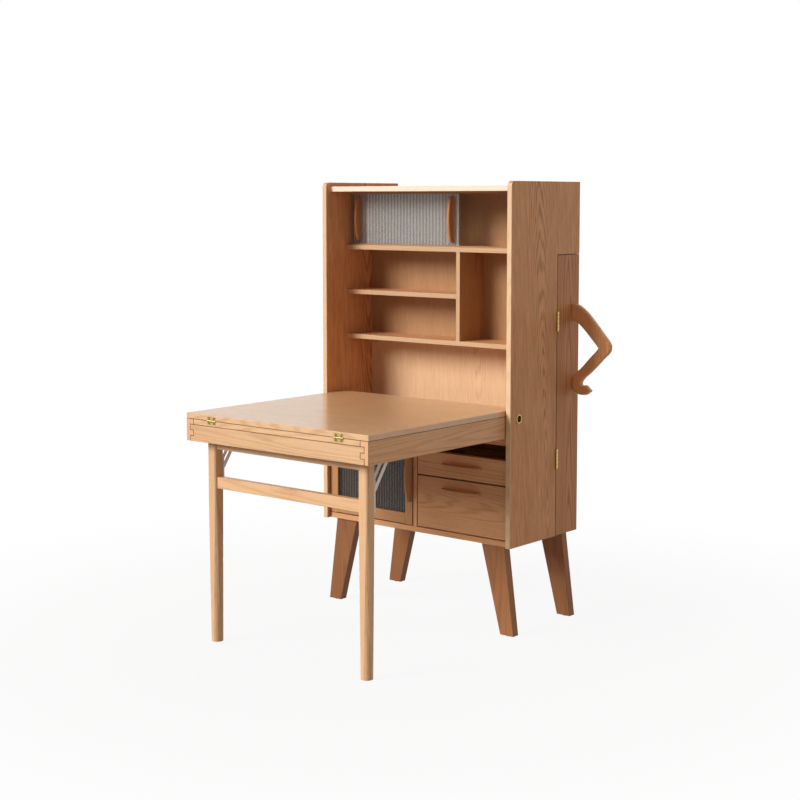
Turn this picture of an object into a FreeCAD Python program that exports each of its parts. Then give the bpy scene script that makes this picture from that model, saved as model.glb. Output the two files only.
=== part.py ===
import FreeCAD, Part
import os
import re
import Sketcher

# Kitchen cabinet with a fold-up table.  Millimetres, +X right, +Y to the back, +Z up.
# Every formula below is written in the cabinet's own frame: x = 0 half-way between the
# side panels, y = 0 at their front edges, z = 0 on the floor.

doc = FreeCAD.newDocument("FoldingTableCabinet")
sheet = doc.addObject("Spreadsheet::Sheet", "Dims")
rules = {}
nodes = []


def formula(text):
    """Turn names of sizes and rules into a FreeCAD expression."""
    functions = {"sqrt": "sqrt", "atan": "atan"}
    return re.sub(r"[a-z]\w+", lambda word: functions.get(word.group()) or rules[word.group()], text)


def value(text):
    return float(sheet.evalExpression(formula(text)))


sizes = {
    # cabinet
    "cabinetWidth": 816,
    "cabinetDepth": 394,
    "cabinetHeight": 1490,
    "legHeight": 300,
    "boardThickness": 18,
    "sideCornerRadius": 16,
    "topSetDown": 14,
    "topSetBack": 22,
    "shelfThickness": 16,
    "shelfSetBack": 109,
    "glassCupboardHeight": 188,
    "upperBayHeight": 142,
    "lowerBayHeight": 143,
    "bayDividerPlace": 101,
    "innerBackSetBack": 245,
    "innerBackThickness": 12,
    "rearPanelThickness": 10,
    "frontSetBack": 16,
    "nicheFloorGap": 8,
    "softEdge": 1.5,
    # cabinet legs: boards that taper and lean outwards
    "legBoardThickness": 30,
    "legTopInner": 133,
    "legTopOuter": 41,
    "legFootInner": 56,
    "legFootOuter": 3,
    "frontLegSetBack": 27,
    "rearLegSetIn": 4,
    "legPlateThickness": 3,
    "legPlateMargin": 9,
    "glideThickness": 3,
    "glideRadius": 9,
    # table
    "tableHeight": 750,
    "tableReach": 673,
    "tableRear": 87,
    "tableSideGap": 4,
    "leafThickness": 18,
    "railThickness": 32,
    "railDepth": 90,
    "frontRailThickness": 20,
    "railCorner": 24,
    "fingerLength": 15.5,
    "pivotBack": 46,
    "pivotDrop": 28,
    "pivotRadius": 6,
    "bushRadius": 15,
    "bushCupRadius": 12,
    "bushCupDepth": 3,
    "collarRadius": 11,
    "runningFit": 0.05,
    "clearance": 0.3,
    # hinges of the flip leaf, on the front edge
    "leafHingeInset": 116,
    "leafHingeWidth": 38,
    "leafHingeHeight": 12.5,
    "leafPlateThickness": 1.2,
    "leafRecess": 1.4,
    "leafBarrelRadius": 3,
    "leafPinRadius": 1.3,
    "leafAxisOut": 0.4,
    # folding leg frame
    "tableLegSideGap": 13,
    "tableLegSetBack": 65,
    "tableLegWidth": 38,
    "tableLegCorner": 9,
    "tableFootRadius": 19.2,
    "tableLegTopRadius": 25,
    "legPivotDrop": 71,
    "legTopRise": 12,
    "legPinRadius": 4,
    "frameRailDrop": 7,
    "frameRailHeight": 40,
    "frameRailThickness": 22,
    "stretcherDrop": 137,
    "stretcherHeight": 37,
    "hingeBlockWidth": 36,
    # braces of the leg frame
    "braceShoeHalf": 9,
    "braceShoeDepth": 11,
    "braceShoeWall": 1.6,
    "braceShoeDrop": 79,
    "braceShoeLength": 97,
    "bracePinDrop": 107,
    "bracePinBack": 26,
    "strutRun": 92,
    "strutRise": 133,
    "strutWidth": 12,
    "strutPlate": 2,
    "strutHalfGap": 9.5,
    "strutPinRadius": 3,
    "slideSetBack": 168,
    "slideLength": 173,
    "slideHeight": 16,
    "slidePlate": 2,
    "slideHalfGap": 14.5,
    "tabWidth": 10,
    "tabOut": 8,
    "tabDrop": 131,
    # sliding glass
    "paneWidth": 412,
    "paneThickness": 5,
    "paneSpacing": 16,
    "frontPaneSetBack": 122.5,
    "rightPaneLeftEdge": 310,
    "leftPaneGap": 2,
    "trackWall": 4,
    "lowerTrackHeight": 5,
    "upperTrackHeight": 8,
    "paneHandleInset": 25.5,
    "leftHandleInset": 35,
    # half-moon handles
    "handleLength": 160,
    "handleThickness": 9,
    "handleReach": 28,
    "handleEndReach": 15,
    "handleEdge": 2.5,
    "handleCorner": 12,
    # lower glass door
    "doorGap": 3,
    "doorThickness": 18,
    "doorEdgeGap": 2,
    "stileWidth": 34,
    "doorRailWidth": 38,
    "glassRebate": 8,
    "doorGlassThickness": 4,
    "doorPivotInset": 4.5,
    "doorPivotRadius": 3,
    "doorPivotLength": 10,
    "lowerDoorHandleDrop": 150,
    "lowerDoorHandleInset": 12,
    # drawers
    "drawerGap": 3,
    "openSlotHeight": 49,
    "upperDrawerHeight": 83.5,
    "drawerBoxSideGap": 6,
    "drawerWall": 12,
    "drawerFloor": 6,
    "drawerBoxLength": 200,
    "drawerBoxDrop": 12,
    "runnerWidth": 20,
    "runnerHeight": 8,
    "upperHandleDrop": 39,
    "lowerHandleDrop": 37,
    # side door and its arm-shaped handle
    "sideDoorDrop": 7,
    "sideDoorFront": 263.5,
    "sideDoorGap": 1,
    "upperHingeDrop": 189,
    "lowerHingeRise": 296,
    "sideHingeHeight": 66,
    "sideHingeOut": 4,
    "sideBarrelRadius": 3.5,
    "sidePinRadius": 1.5,
    "sidePlateDepth": 15,
    "armReach": 150,
    "armSpan": 306,
    "armDrop": 167,
    "armThickness": 22,
    "armSetBack": 374,
    "armEdge": 5,
}

# Lengths that follow from the driving sizes.
following = {
    # cabinet
    "outerHalf": "cabinetWidth / 2",
    "innerHalf": "outerHalf - boardThickness",
    "roofTop": "cabinetHeight - topSetDown",
    "roofUnderside": "roofTop - boardThickness",
    "upperShelfTop": "roofUnderside - glassCupboardHeight",
    "upperShelfUnderside": "upperShelfTop - shelfThickness",
    "middleShelfTop": "upperShelfUnderside - upperBayHeight",
    "middleShelfUnderside": "middleShelfTop - shelfThickness",
    "lowerShelfTop": "middleShelfUnderside - lowerBayHeight",
    "lowerShelfUnderside": "lowerShelfTop - shelfThickness",
    "bayDividerRight": "bayDividerPlace + shelfThickness",
    "innerBackRear": "innerBackSetBack + innerBackThickness",
    "rearPanelFront": "cabinetDepth - rearPanelThickness",
    "baseTop": "legHeight + boardThickness",
    "nicheFloorTop": "tableHeight - railDepth - nicheFloorGap",
    "nicheFloorUnderside": "nicheFloorTop - boardThickness",
    "dividerHalf": "shelfThickness / 2",
    # table
    "tableHalf": "innerHalf - tableSideGap",
    "railInner": "tableHalf - railThickness",
    "leafUnderside": "tableHeight - leafThickness",
    "lowerLeafUnderside": "leafUnderside - leafThickness",
    "railUnderside": "tableHeight - railDepth",
    "pivotHeight": "tableHeight - pivotDrop",
    "fingerHeight": "(lowerLeafUnderside - railUnderside) / 3",
    "fingerTip": "railInner + fingerLength",
    # hinges of the flip leaf, on the front edge
    "leafAxisFront": "-tableReach - leafAxisOut",
    "leafHingePlace": "tableHalf - leafHingeInset",
    # folding leg frame
    "tableLegDepthPlace": "tableLegSetBack - tableReach",
    "legPivotHeight": "tableHeight - legPivotDrop",
    "tableLegHalf": "tableLegWidth / 2",
    "tableLegPlace": "railInner - tableLegSideGap - tableLegHalf",
    "frameRailTop": "legPivotHeight - frameRailDrop",
    "stretcherTop": "legPivotHeight - stretcherDrop",
    # braces of the leg frame
    "braceShoeTop": "legPivotHeight - braceShoeDrop",
    "braceShoeBottom": "braceShoeTop - braceShoeLength",
    "tabTop": "legPivotHeight - tabDrop",
    "bracePinDepthPlace": "tableLegDepthPlace + bracePinBack",
    "bracePinHeight": "legPivotHeight - bracePinDrop",
    "legRearFace": "tableLegDepthPlace + tableLegHalf",
    "slideFront": "slideSetBack - tableReach",
    # sliding glass
    "rearPaneSetBack": "frontPaneSetBack + paneSpacing",
    "paneBottom": "upperShelfTop + clearance",
    "paneTop": "roofUnderside - clearance",
    "paneMiddle": "(paneBottom + paneTop) / 2",
    # half-moon handles
    "handleHalf": "handleLength / 2",
    "handleSag": "handleReach - handleEndReach",
    "handleBow": "(handleHalf * handleHalf + handleSag * handleSag) / (2 * handleSag)",
    # lower glass door
    "doorFront": "frontSetBack",
    "doorRear": "frontSetBack + doorThickness",
    "doorBottom": "baseTop + doorGap",
    "doorTop": "nicheFloorUnderside - doorGap",
    "doorLeft": "-innerHalf + doorEdgeGap",
    "doorRight": "-dividerHalf - doorGap",
    # drawers
    "upperDrawerTop": "nicheFloorUnderside - openSlotHeight",
    "upperDrawerBottom": "upperDrawerTop - upperDrawerHeight",
    "lowerDrawerTop": "upperDrawerBottom - drawerGap",
    # side door
    "sideDoorTop": "upperShelfUnderside - sideDoorDrop",
    "sideHingeTop": "sideDoorTop - upperHingeDrop",
    "sideHingeLow": "legHeight + lowerHingeRise",
    "armBottom": "sideDoorTop - armDrop - armSpan",
    # the origin is the middle of the outline on the floor
    "originX": "-armReach / 2",
    "originY": "(tableReach - cabinetDepth) / 2",
}

for row, (name, number) in enumerate(sizes.items(), 1):
    sheet.set(f"A{row}", name)
    sheet.set(f"B{row}", str(number))
    sheet.setAlias(f"B{row}", name)
    rules[name] = f"Dims.{name}"
doc.recompute()

for name, text in following.items():
    rules[name] = f"({formula(text)})"


def place(item, x, y, z):
    """Bind the position of an object."""
    item.setExpression("Placement.Base.x", formula(x))
    item.setExpression("Placement.Base.y", formula(y))
    item.setExpression("Placement.Base.z", formula(z))


TURNS = {
    "X": FreeCAD.Rotation(FreeCAD.Vector(0, 1, 0), 90),
    "Y": FreeCAD.Rotation(FreeCAD.Vector(1, 0, 0), -90),
    "Z": FreeCAD.Rotation(),
    "upright": FreeCAD.Rotation(FreeCAD.Vector(1, 0, 0), 90),
}


def block(name, x, y, z, kind="Part::Box", x_shift="originX", y_shift="originY"):
    """A box between pairs of limits."""
    item = doc.addObject(kind, name)
    for edge, (low, high) in zip(("Length", "Width", "Height"), (x, y, z)):
        item.setExpression(edge, formula(f"({high}) - ({low})"))
    place(item, f"{x[0]} + {x_shift}", f"{y[0]} + {y_shift}", z[0])
    return item


def rod(name, axis, span, centre, radius, kind="Part::Cylinder", x_shift="originX", y_shift="originY"):
    """A cylinder along an axis between two limits, about the centre on the other two axes."""
    item = doc.addObject(kind, name)
    item.Placement = FreeCAD.Placement(FreeCAD.Vector(), TURNS[axis])
    item.setExpression("Radius", formula(radius))
    item.setExpression("Height", formula(f"({span[1]}) - ({span[0]})"))
    spot = list(centre)
    spot.insert("XYZ".index(axis), span[0])
    place(item, f"{spot[0]} + {x_shift}", f"{spot[1]} + {y_shift}", spot[2])
    return item


def keep(item, label):
    """Make an object a sub-part of its own, under its label."""
    item.Label = label
    nodes.append(item)
    return item


def board(label, x, y, z, soft=None):
    """A box as a sub-part, with its chosen edges softened."""
    if soft is None:
        return keep(block(label, x, y, z), label)
    blank = block(f"{label}_blank", x, y, z)
    return keep(softened(label, blank, "softEdge", soft), label)


def group(label, pieces):
    """Several separate solids that belong together."""
    item = doc.addObject("Part::Compound", label)
    item.Links = pieces
    return keep(item, label)


def minus(name, base, tool):
    """Cut a tool out of a base."""
    item = doc.addObject("Part::Cut", name)
    item.Base = base
    item.Tool = tool
    return item


def edges_where(shape, test):
    """Numbers of the edges that pass a test."""
    return [number for number, edge in enumerate(shape.Edges, 1) if test(edge)]


def runs_along(edge, axis):
    """True for a straight edge parallel to an axis."""
    box = edge.BoundBox
    spans = {"X": box.XLength, "Y": box.YLength, "Z": box.ZLength}
    return all(span < 0.001 for name, span in spans.items() if name != axis) and spans[axis] > 0.001


def front_edges(axis, face):
    """Test for the edges along an axis at a front face."""
    limit = value(f"{face} + originY + softEdge")
    return lambda edge: runs_along(edge, axis) and edge.BoundBox.YMax < limit


def softened(name, base, radius, test):
    """Round the chosen edges of a shape."""
    doc.recompute()
    item = doc.addObject("Part::Fillet", name)
    item.Base = base
    item.Edges = [(number, value(radius), value(radius)) for number in edges_where(base.Shape, test)]
    return item


class Piece:
    """A PartDesign body that is built from bound primitives."""

    def __init__(self, label, kept=True):
        self.body = doc.addObject("PartDesign::Body", label)
        self.label = label
        self.count = 0
        place(self.body, "originX", "originY", "0")
        if kept:
            keep(self.body, label)

    def feature_name(self):
        self.count += 1
        return f"{self.label}_{self.count}"

    def add_block(self, x, y, z):
        self.body.addObject(block(self.feature_name(), x, y, z, "PartDesign::AdditiveBox", "0", "0"))

    def cut_block(self, x, y, z):
        self.body.addObject(block(self.feature_name(), x, y, z, "PartDesign::SubtractiveBox", "0", "0"))

    def add_rod(self, axis, span, centre, radius):
        kind = "PartDesign::AdditiveCylinder"
        self.body.addObject(rod(self.feature_name(), axis, span, centre, radius, kind, "0", "0"))

    def cut_rod(self, axis, span, centre, radius):
        kind = "PartDesign::SubtractiveCylinder"
        self.body.addObject(rod(self.feature_name(), axis, span, centre, radius, kind, "0", "0"))

    def round(self, radius, test):
        doc.recompute()
        base = self.body.Tip
        fillet = self.body.newObject("PartDesign::Fillet", self.feature_name())
        fillet.Base = (base, [f"Edge{number}" for number in edges_where(base.Shape, test)])
        fillet.setExpression("Radius", formula(radius))

    def outline(self, points, depth):
        """Pad a closed outline of (x, z) formulas from the body's XZ plane towards the front."""
        sketch = self.body.newObject("Sketcher::SketchObject", self.feature_name())
        plane = next(item for item in self.body.Origin.OriginFeatures if item.Role == "XZ_Plane")
        sketch.AttachmentSupport = [(plane, "")]
        sketch.MapMode = "FlatFace"
        spots = [FreeCAD.Vector(value(x), value(z), 0) for x, z in points]
        for start, end in zip(spots, spots[1:] + spots[:1]):
            sketch.addGeometry(Part.LineSegment(start, end), False)
        for index in range(len(points)):
            following = (index + 1) % len(points)
            sketch.addConstraint(Sketcher.Constraint("Coincident", index, 2, following, 1))
        for index, (x, z) in enumerate(points):
            for way, text, start in (("DistanceX", x, spots[index].x), ("DistanceY", z, spots[index].y)):
                number = sketch.addConstraint(Sketcher.Constraint(way, -1, 1, index, 1, start))
                sketch.setExpression(f"Constraints[{number}]", formula(text))
        pad = self.body.newObject("PartDesign::Pad", self.feature_name())
        pad.Profile = sketch
        pad.setExpression("Length", formula(depth))


SIDES = (("left", "-1"), ("right", "1"))


def sided(sign, place):
    """A distance from the middle, on either side."""
    return place if sign == "1" else f"-({place})"


def mirrored(sign, low, high):
    """The same span of x on either side, in rising order."""
    return (low, high) if sign == "1" else (f"-({high})", f"-({low})")


# ---------------------------------------------------------------- cabinet

def side_panels():
    for side, sign in SIDES:
        panel = Piece(f"{side}_side_panel")
        x = mirrored(sign, "innerHalf", "outerHalf")
        panel.add_block(x, ("0", "cabinetDepth"), ("legHeight", "cabinetHeight"))
        panel.cut_rod("X", x, ("pivotBack", "pivotHeight"), "bushRadius")
        if side == "right":
            door_side = ("sideDoorFront - sideDoorGap", "cabinetDepth")
            panel.cut_block(x, door_side, ("legHeight", "sideDoorTop + sideDoorGap"))
        top = value("cabinetHeight - softEdge")
        front = value("softEdge")
        panel.round("sideCornerRadius", lambda edge: runs_along(edge, "X")
                    and edge.BoundBox.ZMin > top and edge.BoundBox.YMin < front)
        panel.round("softEdge", lambda edge: runs_along(edge, "Z") and edge.BoundBox.YMin < front)


def boards():
    width = ("-innerHalf", "innerHalf")
    rear = "rearPanelFront"
    roof_edges = front_edges("X", "topSetBack")
    board("top_board", width, ("topSetBack", rear), ("roofUnderside", "roofTop"), roof_edges)
    shelf_depth = ("shelfSetBack", "innerBackSetBack")
    shelf_edges = front_edges("X", "shelfSetBack")
    board("upper_shelf", width, shelf_depth, ("upperShelfUnderside", "upperShelfTop"), shelf_edges)
    middle_width = ("-innerHalf", "bayDividerPlace")
    middle_height = ("middleShelfUnderside", "middleShelfTop")
    board("middle_shelf", middle_width, shelf_depth, middle_height, shelf_edges)
    board("lower_shelf", width, shelf_depth, ("lowerShelfUnderside", "lowerShelfTop"), shelf_edges)
    divider_height = ("lowerShelfTop", "upperShelfUnderside")
    divider_edges = front_edges("Z", "shelfSetBack")
    divider_x = ("bayDividerPlace", "bayDividerRight")
    board("bay_divider", divider_x, shelf_depth, divider_height, divider_edges)
    board("inner_back_panel", width, ("innerBackSetBack", "innerBackRear"), ("baseTop", "roofUnderside"))
    compartment_depth = ("innerBackRear", rear)
    lid_height = ("sideDoorTop - boardThickness", "sideDoorTop")
    board("compartment_lid", width, compartment_depth, lid_height)
    rear_width = ("-innerHalf", "innerHalf - clearance")
    board("rear_panel", rear_width, (rear, "cabinetDepth"), ("legHeight", "roofTop"))
    divider_width = ("-dividerHalf", "dividerHalf")
    divider_depth = ("frontSetBack", "innerBackSetBack")
    lower_height = ("baseTop", "nicheFloorUnderside")
    board("lower_divider", divider_width, divider_depth, lower_height, front_edges("Z", "frontSetBack"))
    pivot = ("doorLeft + doorPivotInset", "doorFront + doorPivotInset")
    for label, depth, height in (
        ("niche_floor", divider_depth, ("nicheFloorUnderside", "nicheFloorTop")),
        ("base_board", ("frontSetBack", rear), ("legHeight", "baseTop")),
    ):
        plank = Piece(label)
        plank.add_block(width, depth, height)
        plank.round("softEdge", front_edges("X", "frontSetBack - originY"))
        plank.cut_rod("Z", height, pivot, "doorPivotRadius + runningFit")


def pivot_bushes():
    bushes = []
    for side, sign in SIDES:
        bush = Piece(f"{side}_bush", kept=False)
        x = mirrored(sign, "innerHalf", "outerHalf")
        centre = ("pivotBack", "pivotHeight")
        bush.add_rod("X", x, centre, "bushRadius")
        bush.cut_rod("X", mirrored(sign, "outerHalf - bushCupDepth", "outerHalf"), centre, "bushCupRadius")
        bush.cut_rod("X", x, centre, "pivotRadius + runningFit")
        bushes.append(bush.body)
    group("pivot_bushes", bushes)


def is_long_upright(edge):
    return edge.BoundBox.ZLength > value("legHeight") / 2


def cabinet_legs():
    plates = []
    glides = []
    rear_leg_front = "cabinetDepth - rearLegSetIn - legBoardThickness"
    for row, front in (("front", "frontLegSetBack"), ("rear", rear_leg_front)):
        for side, sign in SIDES:
            leg = doc.addObject("Part::Wedge", f"{row}_{side}_leg_blank")
            foot = mirrored(sign, "outerHalf - legFootInner", "outerHalf - legFootOuter")
            top = mirrored(sign, "outerHalf - legTopInner", "outerHalf - legTopOuter")
            limits = {
                "Xmin": foot[0], "Xmax": foot[1], "X2min": top[0], "X2max": top[1],
                "Zmin": "0", "Zmax": "legBoardThickness", "Z2min": "0", "Z2max": "legBoardThickness",
                "Ymin": "0", "Ymax": "legHeight - legPlateThickness - glideThickness",
            }
            for name, text in limits.items():
                leg.setExpression(name, formula(text))
            leg.Placement = FreeCAD.Placement(FreeCAD.Vector(), TURNS["upright"])
            place(leg, "originX", f"{front} + legBoardThickness + originY", "glideThickness")
            shape = softened(f"{row}_{side}_soft_leg", leg, "softEdge", is_long_upright)
            keep(shape, f"{row}_{side}_leg")
            plate_x = (f"{top[0]} - legPlateMargin", f"{top[1]} + legPlateMargin")
            plate_y = (front, f"{front} + legBoardThickness")
            plate_z = ("legHeight - legPlateThickness", "legHeight")
            plates.append(block(f"{row}_{side}_plate", plate_x, plate_y, plate_z))
            middle = (f"({foot[0]} + {foot[1]}) / 2", f"{front} + legBoardThickness / 2")
            glides.append(rod(f"{row}_{side}_glide", "Z", ("0", "glideThickness"), middle, "glideRadius"))
    group("leg_mounting_plates", plates)
    group("leg_glides", glides)


def pane_tracks():
    strips = (
        ("frontPaneSetBack - clearance - trackWall", "frontPaneSetBack - clearance"),
        ("frontPaneSetBack + paneThickness + clearance", "rearPaneSetBack - clearance"),
        ("rearPaneSetBack + paneThickness + clearance",
         "rearPaneSetBack + paneThickness + clearance + trackWall"),
    )
    for label, height in (
        ("lower_pane_track", ("upperShelfTop", "upperShelfTop + lowerTrackHeight")),
        ("upper_pane_track", ("roofUnderside - upperTrackHeight", "roofUnderside")),
    ):
        pieces = [
            block(f"{label}_{index}", ("-innerHalf", "innerHalf"), depth, height)
            for index, depth in enumerate(strips, 1)
        ]
        group(label, pieces)


def runner_top(drawer):
    return {"lower": "baseTop + runnerHeight", "upper": "upperDrawerBottom + runnerHeight"}[drawer]


def drawer_runners():
    strips = []
    for drawer in ("lower", "upper"):
        top = runner_top(drawer)
        height = (f"{top} - runnerHeight", top)
        depth = ("doorRear + drawerGap", "innerBackSetBack")
        for side, x in (("left", ("dividerHalf", "dividerHalf + runnerWidth")),
                        ("right", ("innerHalf - runnerWidth", "innerHalf"))):
            strips.append(block(f"{drawer}_{side}_runner", x, depth, height))
    group("drawer_runners", strips)


# ---------------------------------------------------------------- hinges

def side_hinges():
    """Butt hinges between the panel's rear edge and the side door's front edge."""
    fixed = []
    moving = []
    axis = ("outerHalf + sideHingeOut", "sideDoorFront - sideDoorGap / 2")
    for name, top in (("upper", "sideHingeTop"), ("lower", "sideHingeLow")):
        middle = f"{top} - sideHingeHeight / 2"
        bottom = f"{top} - sideHingeHeight"
        plate_x = ("outerHalf - sidePlateDepth", "outerHalf + sideHingeOut")
        panel_plate = ("sideDoorFront - sideDoorGap", "sideDoorFront - sideDoorGap / 2 - clearance / 4")
        door_plate = ("sideDoorFront - sideDoorGap / 2 + clearance / 4", "sideDoorFront")
        lower_half = Piece(f"{name}_side_fixed_leaf", kept=False)
        lower_half.add_block(plate_x, panel_plate, (bottom, top))
        lower_half.add_rod("Z", (bottom, f"{middle} - clearance / 2"), axis, "sideBarrelRadius")
        lower_half.cut_rod("Z", (f"{middle} - clearance / 2", top), axis, "sideBarrelRadius + clearance")
        lower_half.add_rod("Z", (bottom, top), axis, "sidePinRadius")
        fixed.append(lower_half.body)
        upper_half = Piece(f"{name}_side_moving_leaf", kept=False)
        upper_half.add_block(plate_x, door_plate, (bottom, top))
        upper_half.add_rod("Z", (f"{middle} + clearance / 2", top), axis, "sideBarrelRadius")
        upper_half.cut_rod("Z", (bottom, f"{middle} + clearance / 2"), axis, "sideBarrelRadius + clearance")
        upper_half.cut_rod("Z", (bottom, top), axis, "sidePinRadius + runningFit")
        moving.append(upper_half.body)
    group("side_door_hinge_fixed_leaves", fixed)
    group("side_door_hinge_moving_leaves", moving)


def leaf_hinges():
    """Small butt hinges on the front edges of the two table leaves."""
    fixed = []
    moving = []
    axis = ("leafAxisFront", "leafUnderside")
    plate_y = ("-tableReach + leafRecess - leafPlateThickness", "-tableReach + leafRecess")
    for side, sign in SIDES:
        middle = sided(sign, "leafHingePlace")
        left = f"{middle} - leafHingeWidth / 2"
        right = f"{middle} + leafHingeWidth / 2"
        below = Piece(f"{side}_leaf_fixed", kept=False)
        low_plate = ("leafUnderside - leafHingeHeight", "leafUnderside - clearance")
        below.add_block((left, right), plate_y, low_plate)
        below.add_rod("X", (left, f"{middle} - clearance / 2"), axis, "leafBarrelRadius")
        below.cut_rod("X", (f"{middle} - clearance / 2", right), axis, "leafBarrelRadius + clearance")
        below.add_rod("X", (left, right), axis, "leafPinRadius")
        fixed.append(below.body)
        above = Piece(f"{side}_leaf_moving", kept=False)
        high_plate = ("leafUnderside + clearance", "leafUnderside + leafHingeHeight")
        above.add_block((left, right), plate_y, high_plate)
        above.add_rod("X", (f"{middle} + clearance / 2", right), axis, "leafBarrelRadius")
        above.cut_rod("X", (left, f"{middle} + clearance / 2"), axis, "leafBarrelRadius + clearance")
        above.cut_rod("X", (left, right), axis, "leafPinRadius + runningFit")
        moving.append(above.body)
    group("leaf_hinge_fixed_leaves", fixed)
    group("leaf_hinge_moving_leaves", moving)


def cut_leaf_hinge_seats(leaf, height):
    """Recess for the plate and a groove for the barrel at each hinge."""
    for side, sign in SIDES:
        middle = sided(sign, "leafHingePlace")
        span = (f"{middle} - leafHingeWidth / 2 - clearance", f"{middle} + leafHingeWidth / 2 + clearance")
        leaf.cut_block(span, ("-tableReach", "-tableReach + leafRecess"), height)
        leaf.cut_rod("X", span, ("leafAxisFront", "leafUnderside"), "leafBarrelRadius + clearance")


# ---------------------------------------------------------------- table

def table_frame():
    lower_leaf = Piece("lower_leaf")
    leaf_height = ("lowerLeafUnderside", "leafUnderside")
    lower_leaf.add_block(("-railInner", "railInner"), ("-tableReach", "tableRear"), leaf_height)
    cut_leaf_hinge_seats(lower_leaf, ("leafUnderside - leafHingeHeight - clearance", "leafUnderside"))
    for side, sign in SIDES:
        rail = Piece(f"{side}_table_rail")
        x = mirrored(sign, "railInner", "tableHalf")
        rail.add_block(x, ("-tableReach", "tableRear"), ("railUnderside", "leafUnderside"))
        socket_x = mirrored(sign, "railInner", "fingerTip")
        socket_y = ("-tableReach", "-tableReach + frontRailThickness")
        for low, high in (("railUnderside", "railUnderside + fingerHeight"),
                          ("lowerLeafUnderside - fingerHeight", "lowerLeafUnderside")):
            rail.cut_block(socket_x, socket_y, (low, high))
        rail.cut_rod("X", x, ("pivotBack", "pivotHeight"), "pivotRadius")
        low_rear = value("railUnderside + softEdge")
        far_rear = value("tableRear - softEdge")
        rail.round("railCorner", lambda edge: runs_along(edge, "X")
                   and edge.BoundBox.ZMax < low_rear and edge.BoundBox.YMin > far_rear)
        outer_face = value("tableHalf - softEdge")
        rail.round("softEdge", lambda edge: runs_along(edge, "Y") and edge.BoundBox.ZMax < low_rear
                   and max(abs(edge.BoundBox.XMin), abs(edge.BoundBox.XMax)) > outer_face)
    front = Piece("front_table_rail")
    front_y = ("-tableReach", "-tableReach + frontRailThickness")
    front.add_block(("-railInner", "railInner"), front_y, ("railUnderside", "lowerLeafUnderside"))
    for low, high in (("railUnderside", "railUnderside + fingerHeight"),
                      ("lowerLeafUnderside - fingerHeight", "lowerLeafUnderside")):
        front.add_block(("-fingerTip", "fingerTip"), front_y, (low, high))


def top_leaf():
    leaf = Piece("top_leaf")
    depth = ("-tableReach", "tableRear")
    leaf.add_block(("-tableHalf", "tableHalf"), depth, ("leafUnderside", "tableHeight"))
    top = value("tableHeight - softEdge")
    leaf.round("softEdge", lambda edge: edge.BoundBox.ZMin > top)
    cut_leaf_hinge_seats(leaf, ("leafUnderside", "leafUnderside + leafHingeHeight + clearance"))


def pivot_pins():
    pins = []
    centre = ("pivotBack", "pivotHeight")
    for side, sign in SIDES:
        pin = Piece(f"{side}_pivot_pin", kept=False)
        pin.add_rod("X", mirrored(sign, "railInner", "outerHalf - bushCupDepth"), centre, "pivotRadius")
        pin.add_rod("X", mirrored(sign, "tableHalf", "innerHalf - clearance"), centre, "collarRadius")
        pins.append(pin.body)
    group("pivot_pins", pins)


def leg_hinge_blocks():
    blocks = []
    for side, sign in SIDES:
        bracket = Piece(f"{side}_leg_hinge_block", kept=False)
        x = mirrored(sign, "tableLegPlace + tableLegHalf + clearance", "railInner")
        depth = ("tableLegDepthPlace - hingeBlockWidth / 2", "tableLegDepthPlace + hingeBlockWidth / 2")
        bracket.add_block(x, depth, ("railUnderside", "lowerLeafUnderside"))
        bracket.cut_rod("X", x, ("tableLegDepthPlace", "legPivotHeight"), "legPinRadius + runningFit")
        blocks.append(bracket.body)
    group("leg_hinge_blocks", blocks)


def brace_slides():
    bars = []
    for side, sign in SIDES:
        for name, low, high in (
            ("inner", "tableLegPlace - slideHalfGap - slidePlate", "tableLegPlace - slideHalfGap"),
            ("outer", "tableLegPlace + slideHalfGap", "tableLegPlace + slideHalfGap + slidePlate"),
        ):
            height = ("lowerLeafUnderside - slideHeight", "lowerLeafUnderside")
            x = mirrored(sign, low, high)
            bars.append(block(f"{side}_{name}_slide", x, ("slideFront", "slideFront + slideLength"), height))
    group("brace_slides", bars)


# ---------------------------------------------------------------- leg frame

def table_legs():
    """Square legs with rounded corners that turn round towards the foot."""
    pins = []
    for side, sign in SIDES:
        x = mirrored(sign, "tableLegPlace - tableLegHalf", "tableLegPlace + tableLegHalf")
        y = ("tableLegDepthPlace - tableLegHalf", "tableLegDepthPlace + tableLegHalf")
        z = ("0", "legPivotHeight + legTopRise")
        blank = block(f"{side}_leg_blank", x, y, z)
        square = softened(f"{side}_leg_square", blank, "tableLegCorner", lambda edge: runs_along(edge, "Z"))
        taper = doc.addObject("Part::Cone", f"{side}_leg_taper")
        taper.setExpression("Radius1", formula("tableFootRadius"))
        taper.setExpression("Radius2", formula("tableLegTopRadius"))
        taper.setExpression("Height", formula(z[1]))
        middle = sided(sign, "tableLegPlace")
        place(taper, f"{middle} + originX", "tableLegDepthPlace + originY", "0")
        leg = doc.addObject("Part::MultiCommon", f"{side}_table_leg")
        leg.Shapes = [square, taper]
        keep(leg, f"{side}_table_leg")
        pin_x = mirrored(sign, "tableLegPlace + tableLegHalf", "railInner")
        centre = ("tableLegDepthPlace", "legPivotHeight")
        pins.append(rod(f"{side}_leg_pin", "X", pin_x, centre, "legPinRadius"))
    group("leg_hinge_pins", pins)


def leg_frame():
    x = ("-tableLegPlace + tableLegHalf", "tableLegPlace - tableLegHalf")
    y = ("tableLegDepthPlace - frameRailThickness / 2", "tableLegDepthPlace + frameRailThickness / 2")
    for label, z in (("leg_frame_rail", ("frameRailTop - frameRailHeight", "frameRailTop")),
                     ("leg_frame_stretcher", ("stretcherTop - stretcherHeight", "stretcherTop"))):
        board(label, x, y, z, lambda edge: runs_along(edge, "X"))


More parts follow.
